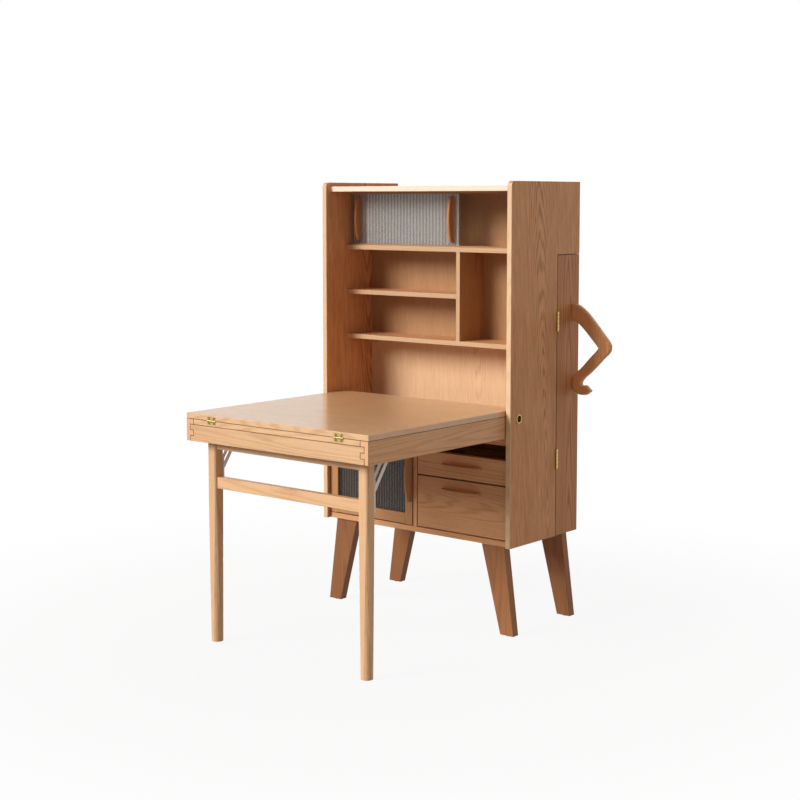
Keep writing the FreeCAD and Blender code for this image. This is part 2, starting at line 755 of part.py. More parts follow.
def brace_shoes():
    """Steel channels on the rear of the legs, each with a release tab."""
    shoes = []
    for side, sign in SIDES:
        shoe = Piece(f"{side}_brace_shoe", kept=False)
        x = mirrored(sign, "tableLegPlace - braceShoeHalf", "tableLegPlace + braceShoeHalf")
        inner_x = mirrored(sign, "tableLegPlace - braceShoeHalf + braceShoeWall",
                           "tableLegPlace + braceShoeHalf - braceShoeWall")
        rear = "legRearFace + braceShoeDepth"
        shoe.add_block(x, ("legRearFace", rear), ("braceShoeBottom", "braceShoeTop"))
        shoe.cut_block(inner_x, ("legRearFace + braceShoeWall", rear), ("braceShoeBottom", "braceShoeTop"))
        tab_x = mirrored(sign, "tableLegPlace - tabWidth / 2", "tableLegPlace + tabWidth / 2")
        tab_y = ("legRearFace + braceShoeWall", "legRearFace + braceShoeWall + tabOut")
        shoe.add_block(tab_x, tab_y, ("tabTop - braceShoeWall", "tabTop"))
        shoe.cut_rod("X", x, ("bracePinDepthPlace", "bracePinHeight"), "strutPinRadius + runningFit")
        shoes.append(shoe.body)
    group("brace_shoes", shoes)


def brace_struts():
    """Twin plates that lean back from the shoe's pin to the pin in the slide."""
    length = "sqrt(strutRun * strutRun + strutRise * strutRise)"
    for side, sign in SIDES:
        low_pin = Piece(f"{side}_strut_low_pin", kept=False)
        reach = "(strutHalfGap + strutPlate + clearance)"
        middle = sided(sign, "tableLegPlace")
        x = (f"{middle} - {reach}", f"{middle} + {reach}")
        low_pin.add_rod("X", x, ("bracePinDepthPlace", "bracePinHeight"), "strutPinRadius")
        high_pin = Piece(f"{side}_strut_high_pin", kept=False)
        high_reach = "(slideHalfGap - clearance)"
        high_x = (f"{middle} - {high_reach}", f"{middle} + {high_reach}")
        high_spot = ("bracePinDepthPlace + strutRun", "bracePinHeight + strutRise")
        high_pin.add_rod("X", high_x, high_spot, "strutPinRadius")
        pieces = [low_pin.body, high_pin.body]
        group(f"{side}_brace_strut", pieces + strut_plates(side, sign, length))


def strut_plates(side, sign, length):
    plates = []
    for name, low, high in (
        ("inner", "tableLegPlace - strutHalfGap - strutPlate", "tableLegPlace - strutHalfGap"),
        ("outer", "tableLegPlace + strutHalfGap", "tableLegPlace + strutHalfGap + strutPlate"),
    ):
        span = mirrored(sign, low, high)
        thickness = f"({span[1]}) - ({span[0]})"
        plate = doc.addObject("PartDesign::Body", f"{side}_{name}_strut_plate")
        lean = "atan(strutRun / strutRise)"
        plate.Placement = FreeCAD.Placement(FreeCAD.Vector(), FreeCAD.Rotation(FreeCAD.Vector(-1, 0, 0), 1))
        place(plate, f"{span[0]} + originX", "bracePinDepthPlace + originY", "bracePinHeight")
        plate.setExpression("Placement.Rotation.Angle", formula(lean))
        bar = block(f"{plate.Label}_bar", ("0", thickness), ("-strutWidth / 2", "strutWidth / 2"),
                    ("0", length), "PartDesign::AdditiveBox", "0", "0")
        plate.addObject(bar)
        for end in ("0", length):
            tip = rod(f"{plate.Label}_tip", "X", ("0", thickness), ("0", end), "strutWidth / 2",
                      "PartDesign::AdditiveCylinder", "0", "0")
            plate.addObject(tip)
        for end in ("0", length):
            hole = rod(f"{plate.Label}_hole", "X", ("0", thickness), ("0", end), "strutPinRadius",
                       "PartDesign::SubtractiveCylinder", "0", "0")
            plate.addObject(hole)
        plates.append(plate)
    return plates


# ---------------------------------------------------------------- handles, glass, doors and drawers

def half_moon(label, along, middle, face):
    """A plate with a straight edge on its door and a bowed edge towards the front."""
    length = (f"{middle['long']} - handleHalf", f"{middle['long']} + handleHalf")
    across = (f"{middle['thick']} - handleThickness / 2", f"{middle['thick']} + handleThickness / 2")
    depth = (f"{face} - handleReach", face)
    bow = f"{face} - handleReach + handleBow"
    if along == "Z":
        blank = block(f"{label}_blank", across, depth, length)
        disc = rod(f"{label}_bow", "X", across, (bow, middle["long"]), "handleBow")
    else:
        blank = block(f"{label}_blank", length, depth, across)
        disc = rod(f"{label}_bow", "Z", across, (middle["long"], bow), "handleBow")
    bowed = doc.addObject("Part::MultiCommon", f"{label}_bowed")
    bowed.Shapes = [blank, disc]
    thick_axis = "X" if along == "Z" else "Z"
    front_face = value(f"{face} + originY - softEdge")
    rounded = softened(f"{label}_ends", bowed, "handleCorner",
                       lambda edge: runs_along(edge, thick_axis) and edge.BoundBox.YMax < front_face)
    handle = softened(label, rounded, "handleEdge", lambda edge: not runs_along(edge, thick_axis)
                      and edge.BoundBox.YMin < front_face)
    keep(handle, label)


def panes():
    for side, left, face, handle_inset in (
        ("right", "-rightPaneLeftEdge", "frontPaneSetBack", "paneWidth - paneHandleInset"),
        ("left", "-innerHalf + leftPaneGap", "rearPaneSetBack", "leftHandleInset"),
    ):
        handle = f"{left} + {handle_inset}"
        width = (left, f"{left} + paneWidth")
        board(f"{side}_pane", width, (face, f"{face} + paneThickness"), ("paneBottom", "paneTop"))
        half_moon(f"{side}_pane_handle", "Z", {"long": "paneMiddle", "thick": handle}, face)


def lower_door():
    depth = ("doorFront", "doorRear")
    glass_width = ("doorLeft + stileWidth - glassRebate", "doorRight - stileWidth + glassRebate")
    glass_height = ("doorBottom + doorRailWidth - glassRebate", "doorTop - doorRailWidth + glassRebate")
    rebate = block("lower_door_rebate", glass_width, ("doorRear - glassRebate", "doorRear"), glass_height)
    inner_width = ("doorLeft + stileWidth", "doorRight - stileWidth")
    full_height = ("doorBottom", "doorTop")
    parts = (
        ("left_stile", ("doorLeft", "doorLeft + stileWidth"), full_height),
        ("right_stile", ("doorRight - stileWidth", "doorRight"), full_height),
        ("lower_rail", inner_width, ("doorBottom", "doorBottom + doorRailWidth")),
        ("upper_rail", inner_width, ("doorTop - doorRailWidth", "doorTop")),
    )
    pieces = []
    for name, x, z in parts:
        blank = block(f"{name}_blank", x, depth, z)
        pieces.append(minus(f"lower_door_{name}", blank, rebate))
    group("lower_door_frame", pieces)
    glass_depth = ("doorRear - glassRebate", "doorRear - glassRebate + doorGlassThickness")
    board("lower_door_glass", glass_width, glass_depth, glass_height)
    middle = {"long": "doorTop - lowerDoorHandleDrop", "thick": "doorRight - lowerDoorHandleInset"}
    half_moon("lower_door_handle", "Z", middle, "doorFront")
    pivot = ("doorLeft + doorPivotInset", "doorFront + doorPivotInset")
    pins = []
    for name, height in (("low", ("doorBottom - doorPivotLength", "doorBottom")),
                         ("high", ("doorTop", "doorTop + doorPivotLength"))):
        pins.append(rod(f"lower_door_{name}_pivot", "Z", height, pivot, "doorPivotRadius"))
    group("lower_door_pivots", pins)


def drawer(name, bottom, top, handle_drop):
    width = ("dividerHalf + drawerGap", "innerHalf - drawerGap")
    front = Piece(f"{name}_drawer_front")
    front.add_block(width, ("doorFront", "doorRear"), (bottom, top))
    front_face = value("doorFront + softEdge")
    front.round("softEdge", lambda edge: edge.BoundBox.YMax < front_face)
    box_left = "dividerHalf + drawerBoxSideGap"
    box_right = "innerHalf - drawerBoxSideGap"
    box_rear = "doorRear + drawerBoxLength"
    base = f"{runner_top(name)} + clearance"
    rim = f"{top} - drawerBoxDrop"
    height = (base, rim)
    depth = ("doorRear", box_rear)
    inner_width = (f"{box_left} + drawerWall", f"{box_right} - drawerWall")
    pieces = [
        block(f"{name}_drawer_left", (box_left, f"{box_left} + drawerWall"), depth, height),
        block(f"{name}_drawer_right", (f"{box_right} - drawerWall", box_right), depth, height),
        block(f"{name}_drawer_rear", inner_width, (f"{box_rear} - drawerWall", box_rear), height),
        block(f"{name}_drawer_floor", inner_width, ("doorRear", f"{box_rear} - drawerWall"),
              (base, f"{base} + drawerFloor")),
    ]
    group(f"{name}_drawer_box", pieces)
    middle = {"long": f"({width[0]} + {width[1]}) / 2", "thick": f"{top} - {handle_drop}"}
    half_moon(f"{name}_drawer_handle", "X", middle, "doorFront")


def side_door():
    depth = ("sideDoorFront", "cabinetDepth")
    outer_face = value("outerHalf + originX - softEdge")
    board("side_door_panel", ("innerHalf", "outerHalf"), depth, ("legHeight + sideDoorGap", "sideDoorTop"),
          lambda edge: edge.BoundBox.XMin > outer_face)


def arm_handle():
    """A bent arm: shoulder and hand on the door, elbow out.  Fractions of its reach and span."""
    outline = (
        (0, 1), (0.133, 0.993), (0.227, 0.969), (0.333, 0.931), (0.46, 0.874), (0.593, 0.806),
        (0.727, 0.732), (0.86, 0.658), (0.96, 0.601), (1, 0.552), (0.993, 0.508), (0.937, 0.467),
        (0.727, 0.368), (0.46, 0.242), (0.27, 0.157), (0.24, 0.124), (0.26, 0.103), (0.367, 0.111),
        (0.427, 0.088), (0.487, 0.054), (0.453, 0.026), (0.367, 0.007), (0.253, 0), (0.133, 0.011),
        (0.04, 0.042), (0, 0.085), (0, 0.167), (0.053, 0.211), (0.173, 0.268), (0.373, 0.366),
        (0.64, 0.5), (0.683, 0.529), (0.64, 0.556), (0.373, 0.69), (0.173, 0.779), (0, 0.824),
    )
    arm = Piece("arm_handle")
    place(arm.body, "outerHalf + originX", "armSetBack + originY", "0")
    arm.outline([(f"armReach * {x}", f"armBottom + armSpan * {z}") for x, z in outline], "armThickness")
    arm.round("armEdge", lambda edge: not runs_along(edge, "Y") and edge.BoundBox.XMax > value("softEdge"))


def build():
    side_panels()
    boards()
    pivot_bushes()
    cabinet_legs()
    pane_tracks()
    drawer_runners()
    side_hinges()
    table_frame()
    top_leaf()
    leaf_hinges()
    pivot_pins()
    leg_hinge_blocks()
    brace_slides()
    table_legs()
    leg_frame()
    brace_shoes()
    brace_struts()
    panes()
    lower_door()
    drawer("upper", "upperDrawerBottom", "upperDrawerTop", "upperHandleDrop")
    drawer("lower", "baseTop + drawerGap", "lowerDrawerTop", "lowerHandleDrop")
    side_door()
    arm_handle()


def check():
    """Stop on any failed object or empty shape."""
    for item in doc.Objects:
        if "Invalid" in item.State or "Error" in item.State:
            raise RuntimeError(f"{item.Label} failed: {item.State}")
    for item in nodes:
        if item.Shape.isNull() or not item.Shape.isValid():
            raise RuntimeError(f"{item.Label} has no valid shape")


def export():
    os.makedirs("parts", exist_ok=True)
    for item in nodes:
        item.Shape.exportStep(os.path.join("parts", f"{item.Label}.step"))
        print(f"{item.Label}: {len(item.Shape.Solids)} solid(s), {item.Shape.Volume / 1000:.1f} cm3")


build()
doc.recompute()
check()
export()
print(f"{len(nodes)} sub-parts")
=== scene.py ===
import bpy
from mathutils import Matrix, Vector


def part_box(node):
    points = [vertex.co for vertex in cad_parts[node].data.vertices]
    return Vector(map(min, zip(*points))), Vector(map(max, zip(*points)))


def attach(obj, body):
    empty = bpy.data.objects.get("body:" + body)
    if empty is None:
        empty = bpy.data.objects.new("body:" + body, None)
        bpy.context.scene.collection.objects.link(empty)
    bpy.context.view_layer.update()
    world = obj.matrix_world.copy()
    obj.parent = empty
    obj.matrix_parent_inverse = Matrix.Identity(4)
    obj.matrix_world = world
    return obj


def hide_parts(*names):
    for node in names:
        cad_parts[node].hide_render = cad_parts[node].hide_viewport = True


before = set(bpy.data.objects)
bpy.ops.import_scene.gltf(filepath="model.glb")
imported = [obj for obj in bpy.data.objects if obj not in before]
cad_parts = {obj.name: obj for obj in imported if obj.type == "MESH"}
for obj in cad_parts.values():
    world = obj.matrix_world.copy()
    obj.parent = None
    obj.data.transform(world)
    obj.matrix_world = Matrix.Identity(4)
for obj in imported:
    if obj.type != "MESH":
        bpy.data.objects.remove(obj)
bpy.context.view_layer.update()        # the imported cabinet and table, fixed in place

import math
import bmesh
import bpy
import numpy as np
from mathutils import Vector

print("frame loaded:", len(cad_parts), "nodes")


def boxOf(node):
    low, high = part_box(node)
    return np.array(low), np.array(high)


def closedFaces(rows, around, start, wrap):
    # quads between neighbouring rows of a closed ring; the ends get flat faces, or the last row meets
    # the first; start is the number of the ring's first point
    row = np.arange(rows if wrap else rows - 1)[:, None]
    place = np.arange(around)[None, :]
    further = ((row + 1) % rows) * around
    after = (place + 1) % around
    quads = np.stack([row * around + place, row * around + after, further + after, further + place], axis=-1)
    faces = (quads.reshape(-1, 4) + start).tolist()
    if not wrap:
        faces.append((np.arange(around)[::-1] + start).tolist())
        faces.append((np.arange(around) + (rows - 1) * around + start).tolist())
    return faces


def joinForms(forms):
    # forms: (rows, wrap) pairs, rows as an array (rows, around, 3) in metres
    points = []
    faces = []
    count = 0
    for rows, wrap in forms:
        faces += closedFaces(rows.shape[0], rows.shape[1], count, wrap)
        points.append(rows.reshape(-1, 3))
        count += rows.shape[0] * rows.shape[1]
    return np.concatenate(points), faces


def linkObject(name, data):
    item = bpy.data.objects.new(name, data)
    bpy.context.scene.collection.objects.link(item)
    return item


def layPiece(name, forms, finish, body, smoothBelow=40):
    # one mesh object of closed forms; edges flatter than smoothBelow degrees are shaded smooth
    points, faces = joinForms(forms)
    mesh = bpy.data.meshes.new(name)
    mesh.from_pydata(points.tolist(), [], faces)
    work = bmesh.new()
    work.from_mesh(mesh)
    bmesh.ops.recalc_face_normals(work, faces=work.faces)
    work.to_mesh(mesh)
    work.free()
    mesh.polygons.foreach_set("use_smooth", np.ones(len(mesh.polygons), bool))
    mesh.set_sharp_from_angle(angle=math.radians(smoothBelow))
    mesh.materials.append(finish)
    piece = linkObject(name, mesh)
    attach(piece, body)
    return piece


def squareTo(axis):
    # two directions square to each other and to axis, which runs along x, y or z
    side = np.roll(np.abs(axis), 1)
    return side, np.cross(axis, side)


def latheForm(profile, centre, axis, steps, wrap=False):
    # (along, radius) pairs carried round a line through centre that runs along axis, a unit vector;
    # wrap closes a hollow shape, whose profile runs right round its wall
    profile = np.array(profile)
    side, other = squareTo(axis)
    angle = np.linspace(0, 2 * math.pi, steps, endpoint=False)
    spoke = np.cos(angle)[:, None] * side + np.sin(angle)[:, None] * other
    return profile[:, :1, None] * axis + profile[:, 1:, None] * spoke[None] + centre, wrap


def roundedRing(halfWidth, halfDepth, corner, steps):
    # rectangle with quarter-round corners, anticlockwise; every size may be an array of rows
    halfWidth, halfDepth, corner = (np.atleast_1d(size)[:, None] for size in (halfWidth, halfDepth, corner))
    quarter = np.linspace(0, math.pi / 2, steps)
    angle = np.concatenate([quarter + turn * math.pi / 2 for turn in range(4)])[None, :]
    right = np.repeat((1, -1, -1, 1), steps)[None, :]
    up = np.repeat((1, 1, -1, -1), steps)[None, :]
    across = right * (halfWidth - corner) + corner * np.cos(angle)
    deep = up * (halfDepth - corner) + corner * np.sin(angle)
    return across, deep


camera = {
    "place": (3.221, -3.8981, 1.4289),   # metres
    "turn": 39.68,      # degrees round from the front towards the right side
    "tilt": 5.155,      # degrees down
    "lens": 69.83,      # mm
    "lift": -0.075,     # shift of the picture, as a share of its width
    "farEnd": 60.0,     # metres; nothing past it is drawn
}

lights = {
    "key": {"from": (-0.4, -0.8, 0.45), "strength": 3.5, "softness": 28, "tone": (1.0, 0.985, 0.96)},
    "rightFill": {"from": (0.95, -0.35, 0.3), "strength": 0.26, "softness": 60, "tone": (1.0, 0.82, 0.66)},
    "backFill": {"from": (0.1, 0.9, 0.45), "strength": 1.2, "softness": 60, "tone": (1.0, 0.97, 0.93)},
}

room = {
    "skyStrength": 0.18,                # light from all round on the object
    "skyTone": (1.0, 0.86, 0.74),
    "floorSize": 16.0,                  # metres
    "floorTone": (0.42, 0.4, 0.38),
    "floorShadow": 0.08,                # how much of the shadow stays on the white floor
    "shadowReach": (0.7, 2.4),          # metres from the middle; the floor fades to white between them
}


def setCamera():
    data = bpy.data.cameras.new("camera")
    data.lens = camera["lens"]
    data.shift_y = camera["lift"]
    data.clip_end = camera["farEnd"]
    eye = linkObject("camera", data)
    eye.location = camera["place"]
    eye.rotation_euler = (math.radians(90 - camera["tilt"]), 0, math.radians(camera["turn"]))
    bpy.context.scene.camera = eye


def setLights():
    for name, light in lights.items():
        data = bpy.data.lights.new(name, "SUN")
        data.energy = light["strength"]
        data.angle = math.radians(light["softness"])
        data.color = light["tone"]
        lamp = linkObject(name, data)
        lamp.rotation_euler = Vector(light["from"]).to_track_quat("Z", "Y").to_euler()


def feed(tree, node, inputs):
    # inputs by name or number: sockets are linked, plain values set
    for place, value in inputs.items():
        if isinstance(value, bpy.types.NodeSocket):
            tree.links.new(value, node.inputs[place])
        else:
            node.inputs[place].default_value = value


def addNode(tree, kind, inputs=None, **settings):
    # one shader node: settings and plain inputs by name, with _ for a space, then the other inputs
    node = tree.nodes.new(kind)
    for name, setting in settings.items():
        if hasattr(node, name):
            setattr(node, name, setting)
        else:
            node.inputs[name.replace("_", " ")].default_value = setting
    feed(tree, node, inputs or {})
    return node


def mathNode(tree, operation, *values):
    return addNode(tree, "ShaderNodeMath", dict(enumerate(values)), operation=operation).outputs[0]


def blendOf(tree, share, first, second):
    return addNode(tree, "ShaderNodeMix", {0: share, 6: first, 7: second}, data_type="RGBA").outputs[2]


def seenBlank(tree):
    # 1 where the floor or sky is seen directly, in a reflection or through glass
    path = tree.nodes.new("ShaderNodeLightPath").outputs
    either = mathNode(tree, "MAXIMUM", path["Is Camera Ray"], path["Is Glossy Ray"])
    return mathNode(tree, "MAXIMUM", either, path["Is Transmission Ray"])


def setRoom():
    world = bpy.data.worlds.new("room")
    bpy.context.scene.world = world
    world.use_nodes = True
    tree = world.node_tree
    tree.nodes.clear()
    lit = addNode(tree, "ShaderNodeBackground", Color=(*room["skyTone"], 1), Strength=room["skyStrength"])
    shown = addNode(tree, "ShaderNodeBackground", Color=(1, 1, 1, 1), Strength=1.0)
    mix = addNode(tree, "ShaderNodeMixShader", {0: seenBlank(tree), 1: lit.outputs[0], 2: shown.outputs[0]})
    addNode(tree, "ShaderNodeOutputWorld", {"Surface": mix.outputs[0]})

    white = bpy.data.materials.new("whiteFloor")
    white.use_nodes = True
    tree = white.node_tree
    tree.nodes.clear()
    plain = addNode(tree, "ShaderNodeBsdfDiffuse", Color=(*room["floorTone"], 1))
    glow = addNode(tree, "ShaderNodeEmission", Color=(1, 1, 1, 1), Strength=1.0)
    place = tree.nodes.new("ShaderNodeTexCoord").outputs["Object"]
    away = addNode(tree, "ShaderNodeVectorMath", {0: place}, operation="LENGTH").outputs["Value"]
    fade = addNode(tree, "ShaderNodeMapRange", {"Value": away}, interpolation_type="SMOOTHSTEP",
                   From_Min=room["shadowReach"][0], From_Max=room["shadowReach"][1],
                   To_Min=1 - room["floorShadow"], To_Max=1.0).outputs[0]
    share = mathNode(tree, "MULTIPLY", seenBlank(tree), fade)
    mix = addNode(tree, "ShaderNodeMixShader", {0: share, 1: plain.outputs[0], 2: glow.outputs[0]})
    addNode(tree, "ShaderNodeOutputMaterial", {"Surface": mix.outputs[0]})

    half = room["floorSize"] / 2
    mesh = bpy.data.meshes.new("floor")
    corners = [(-half, -half, 0), (half, -half, 0), (half, half, 0), (-half, half, 0)]
    mesh.from_pydata(corners, [], [(0, 1, 2, 3)])
    mesh.materials.append(white)
    floor = linkObject("floor", mesh)


setCamera()
setLights()
setRoom()
bpy.context.scene.view_settings.view_transform = "Standard"
print("camera, light and floor ready")


oakTones = {
    # name: (light tone, dark tone)
    "tableTop": ((0.77, 0.49, 0.265), (0.59, 0.33, 0.155)),
    "table": ((0.8, 0.525, 0.305), (0.61, 0.345, 0.178)),
    # the side rails take a lighter, redder copy of the table tone, for faces turned from the key light:
    # painted light
    "tableSide": ((0.88, 0.525, 0.305), (0.65, 0.345, 0.175)),
    # paler front-edge bands: edge lipping whose tone also paints the highlight on the lit front edges; the
    # top board's band is mostly painted highlight
    "brightEdge": ((0.96, 0.82, 0.7), (0.89, 0.71, 0.55)),
    "edge": ((0.78, 0.55, 0.35), (0.68, 0.45, 0.265)),
    "shelfEdge": ((0.64, 0.43, 0.265), (0.53, 0.33, 0.185)),
    "side": ((0.87, 0.46, 0.225), (0.375, 0.145, 0.053)),
    # the side door is a darker copy of the side panels' tone: painted shade
    "sideDoor": ((0.695, 0.332, 0.142), (0.305, 0.108, 0.036)),
    # inside is the wood's tone darkened with painted shade of the deep bays
    "inside": ((0.47, 0.27, 0.138), (0.335, 0.17, 0.076)),
    # paler tone of the back panel inside the niche: painted light
    "nicheBackPaintedLight": ((0.78, 0.52, 0.32), (0.6, 0.36, 0.195)),
    # the lower door's frame is darker than the other fronts: painted shade of the table
    "doorFrame": ((0.56, 0.3, 0.145), (0.4, 0.19, 0.082)),
    "front": ((0.76, 0.405, 0.208), (0.53, 0.25, 0.108)),
    # the cabinet's legs are darkened with painted shade of the table above them, the left legs more
    "leg": ((0.39, 0.17, 0.072), (0.275, 0.108, 0.04)),
    "leftLeg": ((0.3, 0.128, 0.053), (0.205, 0.078, 0.028)),
    "handle": ((0.59, 0.275, 0.115), (0.43, 0.175, 0.065)),
    "frontHandle": ((0.65, 0.35, 0.178), (0.465, 0.225, 0.102)),
    "arm": ((0.92, 0.465, 0.215), (0.64, 0.295, 0.125)),
}

oakGrain = {
    "amounts": {
        "Ring Scale": 64.0,     # 64 puts the rings about 5 mm apart
        "Bend": 24.0,           # how far the rings wander
        "Ring Share": 0.48,     # how far each layer takes the wood from its light to its dark tone
        "Streak Share": 0.3,
        "Fibre Share": 0.24,
        "Cloud Share": 0.16,
        "Pores": 0.45,
    },
    "ringLength": 0.08,         # length of the rings' wander along the grain against 1 across it
    "ringContrast": (0.35, 1.0),            # its start and end
    "ringBreaks": (0.9, 0.35),              # how much the streaks break up the rings, and what they leave
    "poreGather": (0.7, 0.3),               # share of the pores in the dark rings, and elsewhere
    "poreTone": (0.08, 0.035, 0.012, 1),
    "poreStrength": 0.6,
    "seamTone": (0.1, 0.045, 0.018, 1),     # shade and dust on the eased edges along a seam
    "roughness": (0.18, 0.38),              # how much more the dark wood has, and that of the light wood
    "fibreHeight": 0.5,                     # against 1 for the depth of the pores
    "relief": (0.25, 0.0006),               # strength, metres
    "sheen": {"tableTop": 0.7, "table": 0.2, "other": 0.05},    # share of the clear coat
    "sheenRoughness": 0.18,
    "specular": {"tableTop": 0.4, "other": 0.18},
}

grainLayers = {
    # name: (length along the grain against 1 across it, scale, detail, roughness, contrast's start and end)
    "streaks": (0.03, 120.0, 4.0, 0.65, 0.28, 0.72),
    "fibres": (0.018, 480.0, 3.0, 0.6, 0.25, 0.75),
    "clouds": (0.15, 9.0, 3.0, 0.5, 0.3, 0.7),
    "pores": (0.035, 1500.0, 1.0, 0.5, 0.58, 0.7),
}

grainPlace = {
    # where the pith of a board lies; a step moves it from one board to the next
    "depth": 0.07,          # metres behind the board's face
    "acrossStep": 0.618,
    "across": 0.6,          # how much of the board's width it may move over
    "alongStep": 0.377,
    "along": 1.7,           # metres it may move over
    "tilt": 3.0,            # degrees between the pith and the board
    "tiltStep": 0.29,
    "tiltShare": (0.7, 0.6),        # least share of the tilt, and how much more a board may have
    "fullTiltWidth": 0.35,          # metres; a narrower board has less tilt
    "shadeStep": 0.46,
    "shade": (0.96, 0.08),          # least shade of a board, and how much more it may have
    "doorRails": 50,        # the lower door's rails stand this far on in the run of boards
}

boardRows = (
    # (grain runs along, tone, nodes); the order decides where each board's pith lies
    ("z", "side", "left_side_panel", "right_side_panel"),
    ("z", "inside", "bay_divider", "inner_back_panel", "rear_panel"), ("z", "front", "lower_divider"),
    ("x", "front", "top_board", "upper_shelf", "middle_shelf", "lower_shelf"),
    ("x", "inside", "compartment_lid"), ("x", "front", "niche_floor", "base_board"),
    ("z", "leftLeg", "front_left_leg"), ("z", "leg", "front_right_leg"),
    ("z", "leftLeg", "rear_left_leg"), ("z", "leg", "rear_right_leg"),
    ("x", "inside", "lower_pane_track", "upper_pane_track"), ("y", "inside", "drawer_runners"),
    ("x", "table", "lower_leaf"), ("y", "tableSide", "left_table_rail", "right_table_rail"),
    ("x", "table", "front_table_rail"), ("z", "table", "leg_hinge_blocks"),
    ("x", "tableTop", "top_leaf"), ("z", "table", "left_table_leg", "right_table_leg"),
    ("x", "table", "leg_frame_rail", "leg_frame_stretcher"), ("z", "doorFrame", "lower_door_frame"),
    ("x", "front", "upper_drawer_front", "lower_drawer_front"),
    ("x", "inside", "upper_drawer_box", "lower_drawer_box"), ("z", "sideDoor", "side_door_panel"),
    ("z", "frontHandle", "lower_door_handle"), ("z", "handle", "right_pane_handle", "left_pane_handle"),
    ("x", "frontHandle", "upper_drawer_handle", "lower_drawer_handle"), ("z", "arm", "arm_handle"),
)
oakBoards = {node: (runs, tone) for runs, tone, *nodes in boardRows for node in nodes}

# the front-edge bands are edge lipping whose paler tone also paints the highlight on the lit front edges
frontEdge = ("y", 0.0, 0.0025)
bandedBoards = {
    # node: (tone of the band, axis it is measured along, metres from the low face to its start and end)
    "left_side_panel": ("edge", *frontEdge), "right_side_panel": ("edge", *frontEdge),
    "bay_divider": ("shelfEdge", *frontEdge), "upper_shelf": ("shelfEdge", *frontEdge),
    "middle_shelf": ("shelfEdge", *frontEdge), "lower_shelf": ("shelfEdge", *frontEdge),
    # the inner back panel's band, inside the niche, is painted light
    "top_board": ("brightEdge", *frontEdge), "inner_back_panel": ("nicheBackPaintedLight", "z", 0.325, 0.628),
}


def newGroup(name, inputs):
    # a shader node group with these inputs, which puts out Color, Roughness and Height
    group = bpy.data.node_groups.new(name, "ShaderNodeTree")
    for label, start in inputs.items():
        kind = "Vector" if label == "Vector" else "Float" if isinstance(start, float) else "Color"
        socket = group.interface.new_socket(name=label, in_out="INPUT", socket_type="NodeSocket" + kind)
        socket.default_value = start
    for label, kind in (("Color", "Color"), ("Roughness", "Float"), ("Height", "Float")):
        group.interface.new_socket(name=label, in_out="OUTPUT", socket_type="NodeSocket" + kind)
    return group, group.nodes.new("NodeGroupInput").outputs, group.nodes.new("NodeGroupOutput")


def buildOakGrain():
    # rings round the pith bent by slow noise, with streaks, fibres and pores drawn out along the grain,
    # its Z; Band is 1 where the board has its second pair of tones, Seam how dark a seam's edge is
    light, dark = (0.8, 0.6, 0.4, 1), (0.5, 0.3, 0.2, 1)
    group, given, out = newGroup("oakGrain", {
        "Vector": (0, 0, 0), "Light": light, "Dark": dark, "Band": 0.0, "Band Light": light,
        "Band Dark": dark, "Seam": 0.0, **oakGrain["amounts"]})

    def drawnOut(length):
        return addNode(group, "ShaderNodeVectorMath", {0: given["Vector"], 1: (1, 1, length)},
                       operation="MULTIPLY").outputs[0]

    def sharpened(source, start, end, step):
        return addNode(group, "ShaderNodeMapRange", {"Value": source}, interpolation_type=step,
                       From_Min=start, From_Max=end).outputs[0]

    def layerOf(name, step="LINEAR"):
        # noise drawn out along the grain, as it is and with its contrast raised
        length, scale, detail, roughness, start, end = grainLayers[name]
        noise = addNode(group, "ShaderNodeTexNoise", {"Vector": drawnOut(length)}, Scale=scale,
                        Detail=detail, Roughness=roughness).outputs["Fac"]
        return noise, sharpened(noise, start, end, step)

    rings = addNode(group, "ShaderNodeTexWave", {"Vector": drawnOut(oakGrain["ringLength"]),
                    "Scale": given["Ring Scale"], "Distortion": given["Bend"]}, wave_type="RINGS",
                    rings_direction="Z", wave_profile="SIN", Detail=3.0, Detail_Scale=0.15,
                    Detail_Roughness=0.55).outputs["Fac"]
    softFibres, fibres = layerOf("fibres")
    streaks = layerOf("streaks")[1]
    clouds = layerOf("clouds")[1]
    pores = layerOf("pores", "SMOOTHSTEP")[1]

    # the streaks break up the rings, and the pores gather in them
    rings = sharpened(rings, *oakGrain["ringContrast"], "SMOOTHSTEP")
    rings = mathNode(group, "MULTIPLY", rings,
                     mathNode(group, "MULTIPLY_ADD", streaks, *oakGrain["ringBreaks"]))
    tone = mathNode(group, "MULTIPLY", rings, given["Ring Share"])
    for layer, share in ((streaks, "Streak Share"), (fibres, "Fibre Share"), (clouds, "Cloud Share")):
        tone = mathNode(group, "MULTIPLY_ADD", layer, given[share], tone)
    gathered = mathNode(group, "MULTIPLY_ADD", rings, *oakGrain["poreGather"])
    pores = mathNode(group, "MULTIPLY", pores, mathNode(group, "MULTIPLY", gathered, given["Pores"]))

    light = blendOf(group, given["Band"], given["Light"], given["Band Light"])
    dark = blendOf(group, given["Band"], given["Dark"], given["Band Dark"])
    pored = blendOf(group, oakGrain["poreStrength"], dark, oakGrain["poreTone"])
    board = blendOf(group, pores, blendOf(group, tone, light, dark), pored)
    fibreHeight = mathNode(group, "MULTIPLY", softFibres, oakGrain["fibreHeight"])
    feed(group, out, {"Color": blendOf(group, given["Seam"], board, oakGrain["seamTone"]),
                      "Roughness": mathNode(group, "MULTIPLY_ADD", tone, *oakGrain["roughness"]),
                      "Height": mathNode(group, "MULTIPLY_ADD", pores, -1.0, fibreHeight)})


fineMottle = {
    "broadScale": 24.0,
    "rougher": 0.3,             # how much more roughness the dull tone has
    "relief": (0.12, 0.0002),   # strength, metres
}


